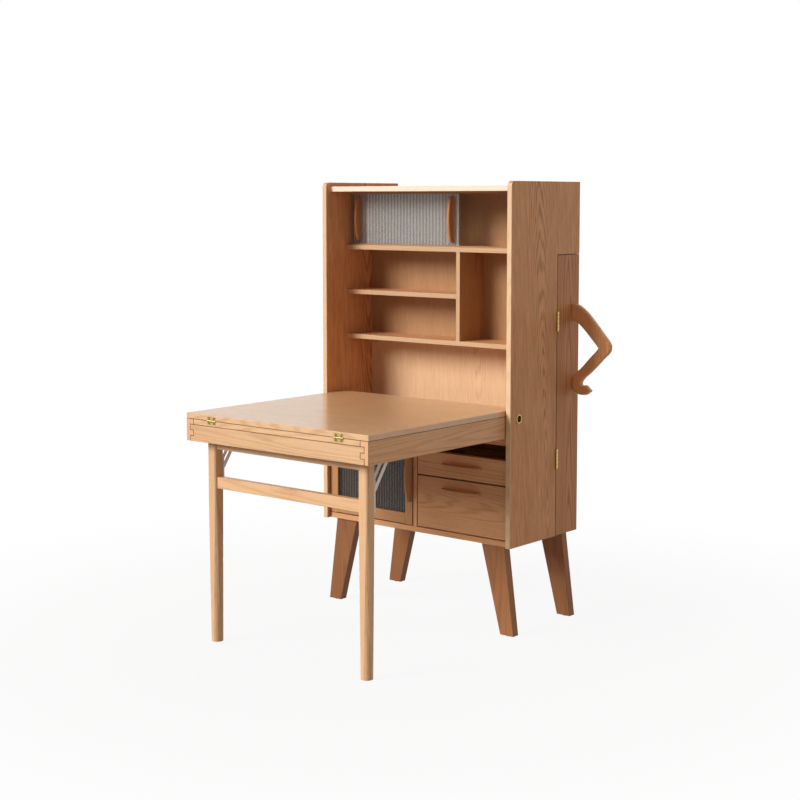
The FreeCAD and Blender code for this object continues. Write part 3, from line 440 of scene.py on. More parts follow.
def buildFineMottle():
    # fine mottling of a hard finish between two tones; a larger Grit is finer
    group, given, out = newGroup("fineMottle", {
        "Vector": (0, 0, 0), "Clean": (0.8, 0.8, 0.8, 1), "Dull": (0.5, 0.5, 0.5, 1), "Grit": 300.0,
        "Gloss": 0.3})
    fine = addNode(group, "ShaderNodeTexNoise", {"Vector": given["Vector"], "Scale": given["Grit"]},
                   Detail=3.0).outputs["Fac"]
    broad = addNode(group, "ShaderNodeTexNoise", {"Vector": given["Vector"]}, Detail=4.0,
                    Scale=fineMottle["broadScale"]).outputs["Fac"]
    both = mathNode(group, "MULTIPLY", fine, broad)
    rough = mathNode(group, "MULTIPLY_ADD", both, fineMottle["rougher"], given["Gloss"])
    feed(group, out, {"Color": blendOf(group, both, given["Clean"], given["Dull"]), "Roughness": rough,
                      "Height": fine})


def newMaterial(name):
    material = bpy.data.materials.new(name)
    material.use_nodes = True
    tree = material.node_tree
    place = tree.nodes.new("ShaderNodeTexCoord").outputs["Object"]
    return material, tree, tree.nodes["Principled BSDF"], place


def dress(tree, shader, name, inputs, relief):
    # places a group and leads its colour, roughness and height to the shader
    made = addNode(tree, "ShaderNodeGroup", inputs, node_tree=bpy.data.node_groups[name]).outputs
    strength, distance = relief
    bump = addNode(tree, "ShaderNodeBump", {"Height": made["Height"]}, Strength=strength, Distance=distance)
    feed(tree, shader, {"Base Color": made["Color"], "Roughness": made["Roughness"],
                        "Normal": bump.outputs[0]})


def toneOf(tone, shade):
    return [[value * shade for value in colour] + [1] for colour in oakTones[tone]]


def makeOak(name, runs, tone, low, high, order, band=None, jointed=False):
    # the pith lies behind the board's broad face, a little tilted, at another place for each board
    material, tree, shader, place = newMaterial(name)
    size = high - low
    along = "xyz".index(runs)
    thin = min((axis for axis in range(3) if axis != along), key=lambda axis: size[axis])
    wide = 3 - along - thin
    pith = (low + high) / 2
    pith[thin] += grainPlace["depth"] * (1 if order % 2 else -1)
    pith[wide] += size[wide] * ((order * grainPlace["acrossStep"]) % 1 - 0.5) * grainPlace["across"]
    pith[along] += (order * grainPlace["alongStep"]) % grainPlace["along"]
    least, more = grainPlace["tiltShare"]
    tilt = grainPlace["tilt"] * (least + (order * grainPlace["tiltStep"]) % more)
    lean = math.radians(tilt) * min(1, size[wide] / grainPlace["fullTiltWidth"])
    quarter = math.pi / 2
    turn = {"x": (0, quarter + lean, lean), "y": (lean - quarter, 0, lean), "z": (lean, -lean, 0)}[runs]
    centred = addNode(tree, "ShaderNodeMapping", {"Vector": place}, vector_type="TEXTURE",
                      Location=pith.tolist(), Rotation=turn).outputs[0]
    least, more = grainPlace["shade"]
    shade = least + more * ((order * grainPlace["shadeStep"]) % 1)
    light, dark = toneOf(tone, shade)
    inputs = {"Vector": centred, "Light": light, "Dark": dark, **oakGrain["amounts"]}
    if band:
        bandTone, axis, start, end = band
        face = float(low["xyz".index(axis)])
        reading = addNode(tree, "ShaderNodeSeparateXYZ", {0: place}).outputs[axis.upper()]
        inputs["Band"] = mathNode(tree, "COMPARE", reading, face + (start + end) / 2, (end - start) / 2)
        inputs["Band Light"], inputs["Band Dark"] = toneOf(bandTone, shade)
    if jointed:
        inputs["Seam"] = addNode(tree, "ShaderNodeAttribute", attribute_name="joint").outputs["Fac"]
    dress(tree, shader, "oakGrain", inputs, oakGrain["relief"])
    specular, sheen = (oakGrain[key].get(tone, oakGrain[key]["other"]) for key in ("specular", "sheen"))
    feed(tree, shader, {"Specular IOR Level": specular, "Coat Weight": sheen,
                        "Coat Roughness": oakGrain["sheenRoughness"]})
    return material


hardFinishes = {
    # name: (clean tone, dull tone, metallic, roughness, grit)
    "brass": ((0.6, 0.44, 0.18), (0.4, 0.275, 0.095), 1.0, 0.22, 240.0),
    # dark brass for the pivot cups and bolts: painted shade in the recess
    "cupShadeBrass": ((0.3, 0.21, 0.075), (0.16, 0.105, 0.035), 1.0, 0.34, 260.0),
    "darkScrew": ((0.06, 0.032, 0.012), (0.025, 0.014, 0.006), 0.2, 0.55, 260.0),
    "whiteSteel": ((0.94, 0.94, 0.935), (0.87, 0.87, 0.86), 0.0, 0.34, 500.0),
    "steel": ((0.62, 0.62, 0.61), (0.45, 0.45, 0.44), 1.0, 0.32, 300.0),
    "glidePlastic": ((0.07, 0.05, 0.04), (0.045, 0.032, 0.026), 0.0, 0.55, 300.0),
}


def makeHardFinish(name, clean, dull, metallic, roughness, grit):
    material, tree, shader, place = newMaterial(name)
    inputs = {"Vector": place, "Clean": (*clean, 1), "Dull": (*dull, 1), "Grit": grit, "Gloss": roughness}
    dress(tree, shader, "fineMottle", inputs, fineMottle["relief"])
    shader.inputs["Metallic"].default_value = metallic
    return material


reededGlass = {
    "haze": (0.08, 0.07),       # how much its roughness changes, and its least
    "refraction": 1.45,
    "finishes": {
        # name: (tone at a reed's crown, tone in its groove, share of the light that passes, reflections)
        # the crown and groove tones paint the reeds' stripes of light and shade
        "cupboardGlass": ((0.92, 0.9, 0.87, 1), (0.46, 0.44, 0.42, 1), 0.82, 0.5),
        "doorGlass": ((0.07, 0.05, 0.035, 1), (0.7, 0.57, 0.45, 1), 0.84, 0.06),
    },
}


def makeReededGlass(name, crown, groove, clear, shine):
    # clear through and through but for a milky share, whose tone follows the depth of the reeds: painted
    # light and shade along the reeds
    material, tree, shader, place = newMaterial(name)
    haze = addNode(tree, "ShaderNodeTexNoise", {"Vector": place}, Scale=60.0, Detail=3.0).outputs["Fac"]
    depth = addNode(tree, "ShaderNodeAttribute", attribute_name="groove").outputs["Fac"]
    feed(tree, shader, {"Roughness": mathNode(tree, "MULTIPLY_ADD", haze, *reededGlass["haze"]),
                        "Base Color": blendOf(tree, depth, crown, groove), "Transmission Weight": clear,
                        "Specular IOR Level": shine, "IOR": reededGlass["refraction"]})
    return material


jointedBoards = {
    "round": 0.0014,        # metres; radius of the eased edges
    "segments": 3,          # across each round
    "near": 0.0018,         # metres; a round this near a seam and a face that shows is shaded
    "weld": 1e-5,           # metres; points nearer than this become one
    "onPlane": 1e-4,        # metres; an edge this near a plane lies in it
    "flat": 0.5,            # degrees; faces this near one plane become one
    "sharp": 50,            # degrees; flatter edges are left as they are
    "square": 0.995,        # a round's normal lies less than this along every axis
    "shade": {"table": 0.72, "side": 0.95, "drawer": 0.9},      # how dark the seams are
    "doorGap": 0.001,       # metres round the side door
    "fingers": 3,           # of the table's corner joints
    "boards": {
        # node: (body, slot)
        "top_leaf": ("flip_leaf", "oak_across"), "lower_leaf": ("table", "oak_across"),
        "front_table_rail": ("table", "oak_across"), "left_table_rail": ("table", "oak_lengthwise"),
        "right_table_rail": ("table", "oak_lengthwise"), "right_side_panel": ("cabinet", "oak_upright"),
        "side_door_panel": ("side_door", "oak_upright"),
        "upper_drawer_front": ("upper_drawer", "oak_across"),
        "lower_drawer_front": ("lower_drawer", "oak_across"),
    },
}

buildOakGrain()
buildFineMottle()
finishes = {name: makeHardFinish(name, *values) for name, values in hardFinishes.items()}
for name, values in reededGlass["finishes"].items():
    finishes[name] = makeReededGlass(name, *values)
for order, (node, (runs, tone)) in enumerate(oakBoards.items()):
    finishes[node] = makeOak(f"oak_{node}", runs, tone, *boxOf(node), order + 1, bandedBoards.get(node),
                             node in jointedBoards["boards"] or node == "lower_door_frame")
finishes["doorRails"] = makeOak("oak_lower_door_rails", "x", "doorFrame", *boxOf("lower_door_frame"),
                                grainPlace["doorRails"], jointed=True)

hardware = {
    "brass": ("pivot_bushes", "pivot_pins", "leaf_hinge_fixed_leaves", "leaf_hinge_moving_leaves",
              "side_door_hinge_fixed_leaves", "side_door_hinge_moving_leaves", "lower_door_pivots"),
    "whiteSteel": ("brace_slides", "brace_shoes", "left_brace_strut", "right_brace_strut"),
    "steel": ("leg_mounting_plates", "leg_hinge_pins"),
    "glidePlastic": ("leg_glides",),
}
for finish, nodes in list(hardware.items()) + [(node, (node,)) for node in oakBoards]:
    for node in nodes:
        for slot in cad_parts[node].material_slots:
            slot.material = finishes[finish]
print("finishes ready:", len(finishes))


def seamPlanes(node):
    # planes where a board meets its neighbours, and planes of its faces that show, as (axis, value) pairs
    low, high = boxOf(node)
    if "side" in node:
        doorLow, doorHigh = boxOf("side_door_panel")
        gap = jointedBoards["doorGap"]
        meets = [(1, doorLow[1]), (1, doorLow[1] - gap), (2, doorHigh[2]), (2, doorHigh[2] + gap)]
        return meets, [(0, high[0])]
    if "drawer" in node:
        return [(axis, corner[axis]) for corner in (low, high) for axis in (0, 2)], [(1, low[1])]
    leafLow, leafHigh = boxOf("lower_leaf")
    railLow, railHigh = boxOf("front_table_rail")
    meets = [(2, low[2] if node == "top_leaf" else high[2])]
    if node == "lower_leaf":
        meets += [(0, low[0]), (0, high[0]), (2, low[2])]
    if "rail" in node:
        fingers = jointedBoards["fingers"]
        meets += [(0, value) for value in (leafLow[0], leafHigh[0], railLow[0], railHigh[0])]
        meets += [(2, railLow[2] + (railHigh[2] - railLow[2]) * (finger + 1) / fingers)
                  for finger in range(fingers)]
    return meets, [(0, low[0]), (0, high[0]), (1, low[1]), (2, high[2])]


def nearPlanes(points, planes):
    return np.any([np.abs(points[:, axis] - value) < jointedBoards["near"] for axis, value in planes], axis=0)


def easeBoard(node, body):
    # a welded copy of the board with its sharp outer edges rounded; "joint" says how dark each face's seam is
    meets, shows = seamPlanes(node)
    work = bmesh.new()
    work.from_mesh(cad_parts[node].data)
    bmesh.ops.remove_doubles(work, verts=work.verts, dist=jointedBoards["weld"])
    flat, sharp = (math.radians(jointedBoards[key]) for key in ("flat", "sharp"))
    bmesh.ops.dissolve_limit(work, angle_limit=flat, verts=work.verts, edges=work.edges)
    edges = [edge for edge in work.edges if edge.is_convex and edge.calc_face_angle(0) > sharp]
    ends = np.array([[vertex.co for vertex in edge.verts] for edge in edges])
    outline = [(axis, value) for corner in boxOf(node) for axis, value in enumerate(corner)]
    sits = [np.abs(ends[:, :, axis] - value).max(axis=1) < jointedBoards["onPlane"]
            for axis, value in meets + outline]
    wanted = np.sum(sits, axis=0) > 1
    if "side" in node:      # its other edges are round already
        wanted = np.any(sits[:len(meets)], axis=0)
    eased = [edge for edge, take in zip(edges, wanted) if take]
    bmesh.ops.bevel(work, geom=eased, offset=jointedBoards["round"], segments=jointedBoards["segments"],
                    profile=0.5, affect="EDGES")
    mesh = bpy.data.meshes.new(f"{node}_eased")
    work.to_mesh(mesh)
    work.free()

    count = len(mesh.polygons)
    centres, normals = (np.empty(count * 3) for _ in range(2))
    mesh.polygons.foreach_get("center", centres)
    mesh.polygons.foreach_get("normal", normals)
    centres = centres.reshape(-1, 3)
    rounds = np.abs(normals.reshape(-1, 3)).max(axis=1) < jointedBoards["square"]
    marked = rounds & nearPlanes(centres, meets) & nearPlanes(centres, shows)
    kind = next((word for word in ("side", "drawer") if word in node), "table")
    shade = (marked * jointedBoards["shade"][kind]).astype(np.float32)
    mesh.attributes.new("joint", "FLOAT", "FACE").data.foreach_set("value", shade)
    mesh.materials.clear()
    mesh.materials.append(finishes[node])
    mesh.polygons.foreach_set("material_index", np.zeros(count, int))
    mesh.polygons.foreach_set("use_smooth", np.zeros(count, bool))
    piece = linkObject(f"{node}_eased", mesh)
    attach(piece, body)
    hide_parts(node)


for node, (body, slot) in jointedBoards["boards"].items():
    easeBoard(node, body)
print("boards eased:", len(jointedBoards["boards"]))


panes = {
    "depth": 0.0016,        # metres from a reed's crown to its groove
    "roundness": 0.98,      # 1 would make each reed half an ellipse
    "stepsPerReed": 12,
    "grooveTone": 2.5,      # larger keeps the groove's tone nearer its foot
    "pieces": {
        # name: (node, body, finish, metres from reed to reed)
        "right_pane_reeded": ("right_pane", "right_glass", "cupboardGlass", 0.0142),
        "left_pane_reeded": ("left_pane", "left_glass", "cupboardGlass", 0.0142),
        "lower_door_reeded": ("lower_door_glass", "glass_door", "doorGlass", 0.0117),
    },
}


def makePane(name, node, body, finish, pitch):
    # an upright rectangle of glass carried along x; its front face swells to a round reed in every pitch:
    # front = face + depth * (1 - sqrt(1 - roundness * s * s)), with s from -1 to 1 across one reed
    low, high = boxOf(node)
    reeds = round((high[0] - low[0]) / pitch)
    share = np.linspace(0, reeds, reeds * panes["stepsPerReed"] + 1)
    across = (share % 1) * 2 - 1
    x = low[0] + (high[0] - low[0]) * share / reeds
    front = low[1] + panes["depth"] * (1 - np.sqrt(1 - panes["roundness"] * across ** 2))
    corners = ((front, low[2]), (high[1], low[2]), (high[1], high[2]), (front, high[2]))
    rows = np.stack([np.stack(np.broadcast_arrays(x, y, z), axis=-1) for y, z in corners], axis=1)
    piece = layPiece(name, [(rows, False)], finishes[finish], body, smoothBelow=20)
    groove = np.repeat((np.abs(across) ** panes["grooveTone"])[:, None], rows.shape[1], axis=1)
    depth = piece.data.attributes.new("groove", "FLOAT", "POINT")
    depth.data.foreach_set("value", groove.astype(np.float32).ravel())
    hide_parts(node)


for name, values in panes["pieces"].items():
    makePane(name, *values)
print("reeded glass laid:", len(panes["pieces"]))


halfMoon = {
    # metres
    "length": 0.16,
    "thickness": 0.009,
    "reach": 0.028,         # at the middle of the bow
    "endReach": 0.015,
    "corner": 0.012,        # radius where the bow turns back to its door
    "edge": 0.0028,         # radius of its rounded edges
    "thinEdge": 0.9,        # most of the plate's reach or half thickness that this radius may take
    "steps": 61,
    "edgeSteps": 6,
    "pieces": {
        # name: (node, body, runs along, slot)
        "right_pane_bow": ("right_pane_handle", "right_glass", "z", "oak_upright"),
        "left_pane_bow": ("left_pane_handle", "left_glass", "z", "oak_upright"),
        "lower_door_bow": ("lower_door_handle", "glass_door", "z", "oak_upright"),
        "upper_drawer_bow": ("upper_drawer_handle", "upper_drawer", "x", "oak_across"),
        "lower_drawer_bow": ("lower_drawer_handle", "lower_drawer", "x", "oak_across"),
    },
}


def makeHalfMoon(name, node, body, along, slot):
    # each row is a section of the plate at s along it, from its door out to the bow:
    # bow = reach - radius + sqrt(radius * radius - s * s), less a quarter-round at both ends
    low, high = boxOf(node)
    middle = (low + high) / 2
    half = halfMoon["length"] / 2
    s = half * np.sin(np.linspace(-math.pi / 2, math.pi / 2, halfMoon["steps"]))
    sag = halfMoon["reach"] - halfMoon["endReach"]
    radius = (half ** 2 + sag ** 2) / (2 * sag)
    bow = halfMoon["reach"] - radius + np.sqrt(radius ** 2 - s ** 2)
    corner = halfMoon["corner"]
    past = np.clip(np.abs(s) - (half - corner), 0, corner)
    bow -= corner - np.sqrt(corner ** 2 - past ** 2)
    edge = halfMoon["edge"]
    pastEnd = np.clip(np.abs(s) - (half - edge), 0, edge)
    thick = halfMoon["thickness"] / 2 - (edge - np.sqrt(edge ** 2 - pastEnd ** 2))
    soft = np.minimum(edge, np.minimum(bow, thick) * halfMoon["thinEdge"])[:, None]
    quarter = np.linspace(0, math.pi / 2, halfMoon["edgeSteps"])[None, :]
    thick = thick[:, None]
    forward = np.concatenate([0 * thick, bow[:, None] - soft + soft * np.sin(quarter),
                              bow[:, None] - soft + soft * np.cos(quarter), 0 * thick], axis=1)
    across = np.concatenate([thick, thick - soft + soft * np.cos(quarter),
                             -thick + soft - soft * np.sin(quarter), -thick], axis=1)
    run = s[:, None] + 0 * across
    first, last = (run, across) if along == "x" else (across, run)
    rows = np.stack([middle[0] + first, high[1] - forward, middle[2] + last], axis=-1)
    piece = layPiece(name, [(rows, False)], finishes[node], body)
    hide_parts(node)


for name, values in halfMoon["pieces"].items():
    makeHalfMoon(name, *values)
print("half-moon handles carved:", len(halfMoon["pieces"]))


arm = {
    "thickness": 0.022,     # metres
    "edge": 0.0075,         # radius of its rounded edges
    "thinEdge": 0.95,       # most of its half width that this radius may take
    "steps": 170,
    "edgeSteps": 8,
    # both sides of the arm, pair by pair from shoulder to fingertip: reach from the door and height, in mm
    "outerSide": ((-1, 1080), (20, 1078), (34, 1070.5), (50, 1059), (69, 1041.5), (89, 1020.5), (109, 998),
                  (129, 975.5), (144, 958), (149.5, 948), (149.5, 931), (141, 917.5), (129, 906.5),
                  (109, 886.5), (89, 866.5), (69, 848), (49, 831), (39.5, 820), (36.5, 811), (39.5, 805.5),
                  (46, 805.5), (54, 807), (62, 802), (68, 796), (71, 792)),
    "innerSide": ((-1, 1026), (9, 1023), (20, 1016.5), (30, 1009), (46, 995), (62, 979), (78, 962.5),
                  (90, 950), (98, 941), (102, 937), (102, 934.5), (98, 929), (90, 920.5), (74, 905),
                  (56, 886), (38, 867), (18, 849), (6, 834), (0.5, 817), (1, 802), (7, 787), (24, 775.5),
                  (45, 773.5), (60, 776.5), (71, 786)),
}


def throughPoints(points, marks, wanted):
    # a smooth line: a cubic between each two points, which leaves each point along its neighbours' line
    slopes = np.gradient(points, marks, axis=0)
    piece = np.clip(np.searchsorted(marks, wanted, side="right") - 1, 0, len(points) - 2)
    span = (marks[piece + 1] - marks[piece])[:, None]
    t = (wanted - marks[piece])[:, None] / span
    return ((2 * t ** 3 - 3 * t ** 2 + 1) * points[piece] + (t ** 3 - 2 * t ** 2 + t) * span * slopes[piece]
            + (3 * t ** 2 - 2 * t ** 3) * points[piece + 1] + (t ** 3 - t ** 2) * span * slopes[piece + 1])


def makeArm():
    # each row is a rounded oblong laid between the two sides of the arm
    low, high = boxOf("arm_handle")
    doorFace = boxOf("side_door_panel")[1][0]
    outer, inner = (np.array(arm[side]) / 1000 for side in ("outerSide", "innerSide"))
    steps = np.linalg.norm(np.diff((outer + inner) / 2, axis=0), axis=1)
    marks = np.concatenate([[0], np.cumsum(steps)])
    wanted = np.linspace(0, marks[-1], arm["steps"])
    outer, inner = (throughPoints(side, marks, wanted) for side in (outer, inner))
    middle = (outer + inner) / 2
    half = (outer - inner) / 2
    width = np.linalg.norm(half, axis=1)
    unit = half / width[:, None]
    soft = np.minimum(arm["edge"], width * arm["thinEdge"])
    across, deep = roundedRing(width, arm["thickness"] / 2, soft, arm["edgeSteps"])
    reach = middle[:, :1] + across * unit[:, :1]
    height = middle[:, 1:] + across * unit[:, 1:]
    rows = np.stack([doorFace + reach, (low[1] + high[1]) / 2 + deep, height], axis=-1)
    piece = layPiece("arm_handle_carved", [(rows, False)], finishes["arm_handle"], "side_door")
    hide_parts("arm_handle")


makeArm()
print("arm handle carved")


hinges = {
    # parts: node, body, side of the axis on which the leaf lies, and metres from the axis to its back and
    # front; leaf: its width from the axis; inset: from the far side of the fixed node's box to the axis;
    # screws: their places along the leaf, as shares of its length
    "leaf": {
        "parts": {
            "fixed": ("leaf_hinge_fixed_leaves", "table", (0, 0, -1), (-0.0018, -0.0006)),
            "moving": ("leaf_hinge_moving_leaves", "flip_leaf", (0, 0, 1), (-0.0018, -0.0006)),
        },
        "along": (1, 0, 0), "length": 0.038, "leaf": 0.0125, "inset": 0.003, "barrel": 0.0031,
        "pin": 0.0014, "gap": 0.0004, "screws": (0.2, 0.8),
    },
    "side": {
        "parts": {
            "fixed": ("side_door_hinge_fixed_leaves", "cabinet", (-1, 0, 0), (0.00008, 0.0005)),
            "moving": ("side_door_hinge_moving_leaves", "side_door", (-1, 0, 0), (-0.0005, -0.00008)),
        },
        "along": (0, 0, 1), "length": 0.066, "leaf": 0.019, "inset": 0.0035, "barrel": 0.0036,
        "pin": 0.0016, "gap": 0.0005, "screws": (),
    },
}

hingeDetails = {
    # metres
    "face": (0, -1, 0),     # the way the leaves look
    "knuckles": 5,
    "leafCorner": 0.0012,
    "leafGap": 0.0003,      # between a leaf and the barrel
    "overlap": 0.001,       # of a knuckle's root on its leaf
    "root": 0.0004,         # from the pin to a knuckle's root
    "ease": 0.0004,         # chamfer at both ends of a knuckle
    "pinGap": 0.0001,
    "pinProud": 0.0006,
    "pole": 0.0002,         # radius that closes a turned shape's ends
    "screwRadius": 0.004,
    "screwPlace": 0.0078,   # from the axis
    # a screw's head from rim to middle: share of its radius, and height
    "screwHead": ((1.0, -0.0006), (1.0, 0.0), (0.93, 0.0003), (0.75, 0.0004), (0.62, 0.00042),
                  (0.48, 0.00044), (0.32, 0.00045), (0.12, 0.00045)),
    "screwSteps": 40,
    "slotWidth": 0.15,      # half the width of its slots, and half their length, as shares of its radius
    "slotReach": 0.7,
    "slotDepth": 0.0007,
}


def slabForm(start, spans, directions, corner=1e-5):
    # a flat slab: a rectangle with quarter-round corners in its plane, carried through its thickness
    (u0, u1), (v0, v1), (w0, w1) = spans
    across, deep = roundedRing((u1 - u0) / 2, (v1 - v0) / 2, corner, steps=4)
    u, v, w = directions
    ring = start + ((u0 + u1) / 2 + across[0])[:, None] * u + ((v0 + v1) / 2 + deep[0])[:, None] * v
    return np.stack([ring + w0 * w, ring + w1 * w]), False


def screwForm(centre, facing):
    # a countersunk head: polar rows whose height drops inside a cross of two slots
    side, other = squareTo(facing)
    angle = np.linspace(0, 2 * math.pi, hingeDetails["screwSteps"], endpoint=False)
    share, rise = (np.array(column)[:, None] for column in zip(*hingeDetails["screwHead"]))
    x = share * np.cos(angle)
    y = share * np.sin(angle)
    inSlot = np.minimum(np.abs(x), np.abs(y)) < hingeDetails["slotWidth"]
    inSlot &= share < hingeDetails["slotReach"]
    lift = rise - hingeDetails["slotDepth"] * inSlot
    flat = (x[..., None] * side + y[..., None] * other) * hingeDetails["screwRadius"]
    return flat + lift[..., None] * facing + centre, False


def hingeStarts(hinge):
    # where each hinge of a pair starts on their common axis: they stand at the ends of the node's box
    low, high = boxOf(hinge["parts"]["fixed"][0])
    along = np.array(hinge["along"])
    if hinge["along"][0]:   # between the table's leaves
        axis = np.array([0.0, high[1] - hinge["inset"], boxOf("top_leaf")[0][2]])
    else:                   # beside the side door
        axis = np.array([high[0] - hinge["inset"], (low[1] + high[1]) / 2, 0.0])
    return axis + along * (low @ along), axis + along * (high @ along - hinge["length"])


def knuckleForms(hinge, start, ways, faces, place):
    # one turn of the barrel: a tube round the pin, and the root that joins it to its leaf
    pitch = hinge["length"] / hingeDetails["knuckles"]
    first = place * pitch + hinge["gap"] / 2
    last = (place + 1) * pitch - hinge["gap"] / 2
    outer, ease = hinge["barrel"], hingeDetails["ease"]
    reach = (hinge["pin"] + hingeDetails["root"], outer + hingeDetails["leafGap"] + hingeDetails["overlap"])
    bore = hinge["pin"] + hingeDetails["pinGap"]
    tube = ((first, bore), (first, outer - ease), (first + ease, outer), (last - ease, outer),
            (last, outer - ease), (last, bore))
    return [slabForm(start, ((first, last), reach, faces), ways),
            latheForm(tube, start, ways[0], steps=32, wrap=True)]


def makeHinge(name, hinge):
    # two leaves and a barrel of knuckles that take turns between them, on one pin
    along, face = (np.array(way) for way in (hinge["along"], hingeDetails["face"]))
    length, pin = hinge["length"], hinge["pin"]
    pole, proud = hingeDetails["pole"], hingeDetails["pinProud"]
    pinShape = ((-proud, pole), (-proud, pin), (length + proud, pin), (length + proud, pole))
    leafReach = (hinge["barrel"] + hingeDetails["leafGap"], hinge["leaf"])
    for turn, (part, (node, body, side, faces)) in enumerate(hinge["parts"].items()):
        ways = (along, np.array(side), face)
        forms = []
        screws = []
        for start in hingeStarts(hinge):
            forms.append(slabForm(start, ((0, length), leafReach, faces), ways, hingeDetails["leafCorner"]))
            for place in range(turn, hingeDetails["knuckles"], 2):
                forms += knuckleForms(hinge, start, ways, faces, place)
            if part == "fixed":
                forms.append(latheForm(pinShape, start, along, steps=24))
            for share in hinge["screws"]:
                spot = start + along * length * share + ways[1] * hingeDetails["screwPlace"] + face * faces[1]
                screws.append(screwForm(spot, face))
        piece = layPiece(f"{name}_hinges_{part}", forms, finishes["brass"], body, smoothBelow=50)
        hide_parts(node)
        if screws:
            layPiece(f"{name}_hinge_screws_{part}", screws, finishes["darkScrew"], body,
                     smoothBelow=50)


for name, hinge in hinges.items():
    makeHinge(name, hinge)
print("hinges assembled:", len(hinges))


pivots = {
    # metres
    "ring": 0.015,          # radius of the brass ring
    "bore": 0.0115,         # radius of its cup
    "cupDepth": 0.0085,
    "cupWall": (0.0005, 0.0008),    # at its rim and at its floor
    "proud": 0.0032,        # how far the lip stands out of the panel
    "lipDepth": 0.004,      # how far the lip goes into it
    # the rounding of the lip's outer and inner side: share of its height, and how far the side steps in
    "lipOutside": ((0.5, 0.0), (0.85, 0.0004), (1.0, 0.0012)),
    "lipInside": ((1.0, 0.0008), (0.85, 0.0002), (0.6, 0.0)),
    "bolt": 0.0088,         # radius of its head, which closes the cup
    "boltIn": 0.026,        # how far the bolt reaches past the panel into the table
    "boltRound": ((0.0012, 0.0), (0.0004, 0.0008), (0.0, 0.0022)),      # down from its face, in from its side
    "socket": ((0.0, 0.003), (0.003, 0.0028)),      # down from its face, radius
    "collar": 0.011,        # radius of the washer between the panel and the table
    "collarSpan": (0.0004, 0.0037),     # past the panel
    "fit": 0.0002,          # gap between pieces, and radius that closes a turned shape's ends
}


def makePivots():
    # ring, cup, bolt and washer of each table pivot as lathe shapes along x, outwards from the cabinet
    low, high = boxOf("pivot_bushes")
    panelLow, panelHigh = boxOf("right_side_panel")
    ring, bore, proud, bolt, fit = (pivots[key] for key in ("ring", "bore", "proud", "bolt", "fit"))
    lipFoot = -pivots["lipDepth"]
    floor = -pivots["cupDepth"]
    panelBack = panelLow[0] - panelHigh[0]
    inner = panelBack - pivots["boltIn"]
    near, far = (panelBack - past for past in pivots["collarSpan"])
    rimWall, floorWall = (bore - fit - wall for wall in pivots["cupWall"])
    lipShape = ((lipFoot, bore), (lipFoot, ring),
                *((proud * share, ring - step) for share, step in pivots["lipOutside"]),
                *((proud * share, bore + step) for share, step in pivots["lipInside"]))
    cupShape = ((panelBack, bolt + fit), (panelBack, ring), (lipFoot - fit, ring),
                (lipFoot - fit, bore - fit), (-2 * fit, bore - fit), (-2 * fit, rimWall),
                (floor, floorWall), (floor, bolt + fit))
    boltShape = ((inner, fit), (inner, bolt),
                 *((floor - down, bolt - step) for down, step in pivots["boltRound"]),
                 *((floor - down, radius) for down, radius in pivots["socket"]),
                 (floor - pivots["socket"][1][0], fit))
    collarShape = ((far, bolt), (far, pivots["collar"]), (near, pivots["collar"]), (near, bolt))
    rings = []
    cups = []
    bolts = []
    for face, outward in ((high[0], 1.0), (low[0], -1.0)):
        centre = (face, (low[1] + high[1]) / 2, (low[2] + high[2]) / 2)
        axis = (outward, 0.0, 0.0)
        rings.append(latheForm(lipShape, centre, axis, steps=56, wrap=True))
        cups.append(latheForm(cupShape, centre, axis, steps=56, wrap=True))
        bolts.append(latheForm(boltShape, centre, axis, steps=40))
        bolts.append(latheForm(collarShape, centre, axis, steps=40, wrap=True))
    piece = layPiece("pivot_rings", rings, finishes["brass"], "cabinet", smoothBelow=30)
    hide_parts("pivot_bushes")
    # the cups and bolts take the dark brass that paints shade in the cup
    layPiece("pivot_cups", cups, finishes["cupShadeBrass"], "cabinet", smoothBelow=30)
    piece = layPiece("pivot_bolts", bolts, finishes["cupShadeBrass"], "table", smoothBelow=30)
    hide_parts("pivot_pins")


makePivots()
print("pivots turned")


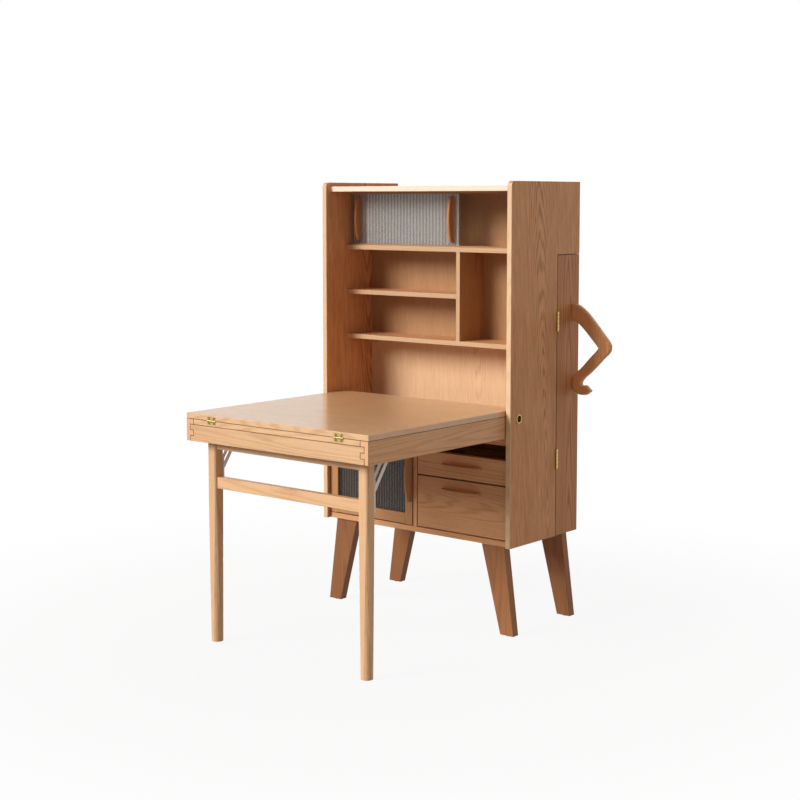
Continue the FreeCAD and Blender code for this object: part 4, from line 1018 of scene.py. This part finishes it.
doorFrame = {
    # metres
    "stile": 0.034,         # width of its uprights
    "rail": 0.038,          # width of its cross members
    "rebate": 0.008,        # step that holds the glass, in width and in depth
    "edge": 0.001,          # chamfer of its edges
    "outerEdge": 0.0018,    # chamfer along the gap round the door
    "shade": 0.9,           # how dark that gap's edge is
}


def cornersCut(corners, cuts):
    # a polygon with each corner cut off by its own short chamfer
    corners = np.array(corners)
    cut = np.array(cuts)[:, None]
    before = np.roll(corners, 1, axis=0) - corners
    after = np.roll(corners, -1, axis=0) - corners
    before /= np.linalg.norm(before, axis=1)[:, None]
    after /= np.linalg.norm(after, axis=1)[:, None]
    return np.stack([corners + cut * before, corners + cut * after], axis=1).reshape(-1, 2)


def makeDoorFrame():
    # an L-shaped profile, its step towards the glass, carried up each stile and across each rail
    low, high = boxOf("lower_door_frame")
    front, back = low[1], high[1]
    step = back - doorFrame["rebate"]
    inner = (low[0] + doorFrame["stile"], high[0] - doorFrame["stile"])
    forms = {"stile": [], "rail": []}
    for part, ends, sides in (("stile", (low[2], high[2]), ((low[0], 1), (high[0], -1))),
                              ("rail", inner, ((low[2], 1), (high[2], -1)))):
        for edge, inward in sides:
            lip = edge + inward * doorFrame[part]
            narrow = lip - inward * doorFrame["rebate"]
            corners = ((edge, front), (lip, front), (lip, step), (narrow, step), (narrow, back), (edge, back))
            cuts = [doorFrame["outerEdge"]] + [doorFrame["edge"]] * (len(corners) - 1)
            across, deep = cornersCut(corners, cuts).T
            runs = (np.full(len(across), end) for end in ends)
            rows = [(across, deep, run) if part == "stile" else (run, deep, across) for run in runs]
            forms[part].append((np.stack([np.stack(row, axis=-1) for row in rows]), False))
    stiles = layPiece("lower_door_stiles", forms["stile"], finishes["lower_door_frame"], "glass_door",
                      smoothBelow=20)
    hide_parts("lower_door_frame")
    rails = layPiece("lower_door_rails", forms["rail"], finishes["doorRails"], "glass_door",
                     smoothBelow=20)
    for piece in (stiles, rails):
        # each member has its sides and two ends, and the first of its sides is the outer chamfer
        marks = np.zeros(len(piece.data.polygons), np.float32)
        marks[::len(across) + 2] = doorFrame["shade"]
        piece.data.attributes.new("joint", "FLOAT", "FACE").data.foreach_set("value", marks)


makeDoorFrame()
print("lower door framed")
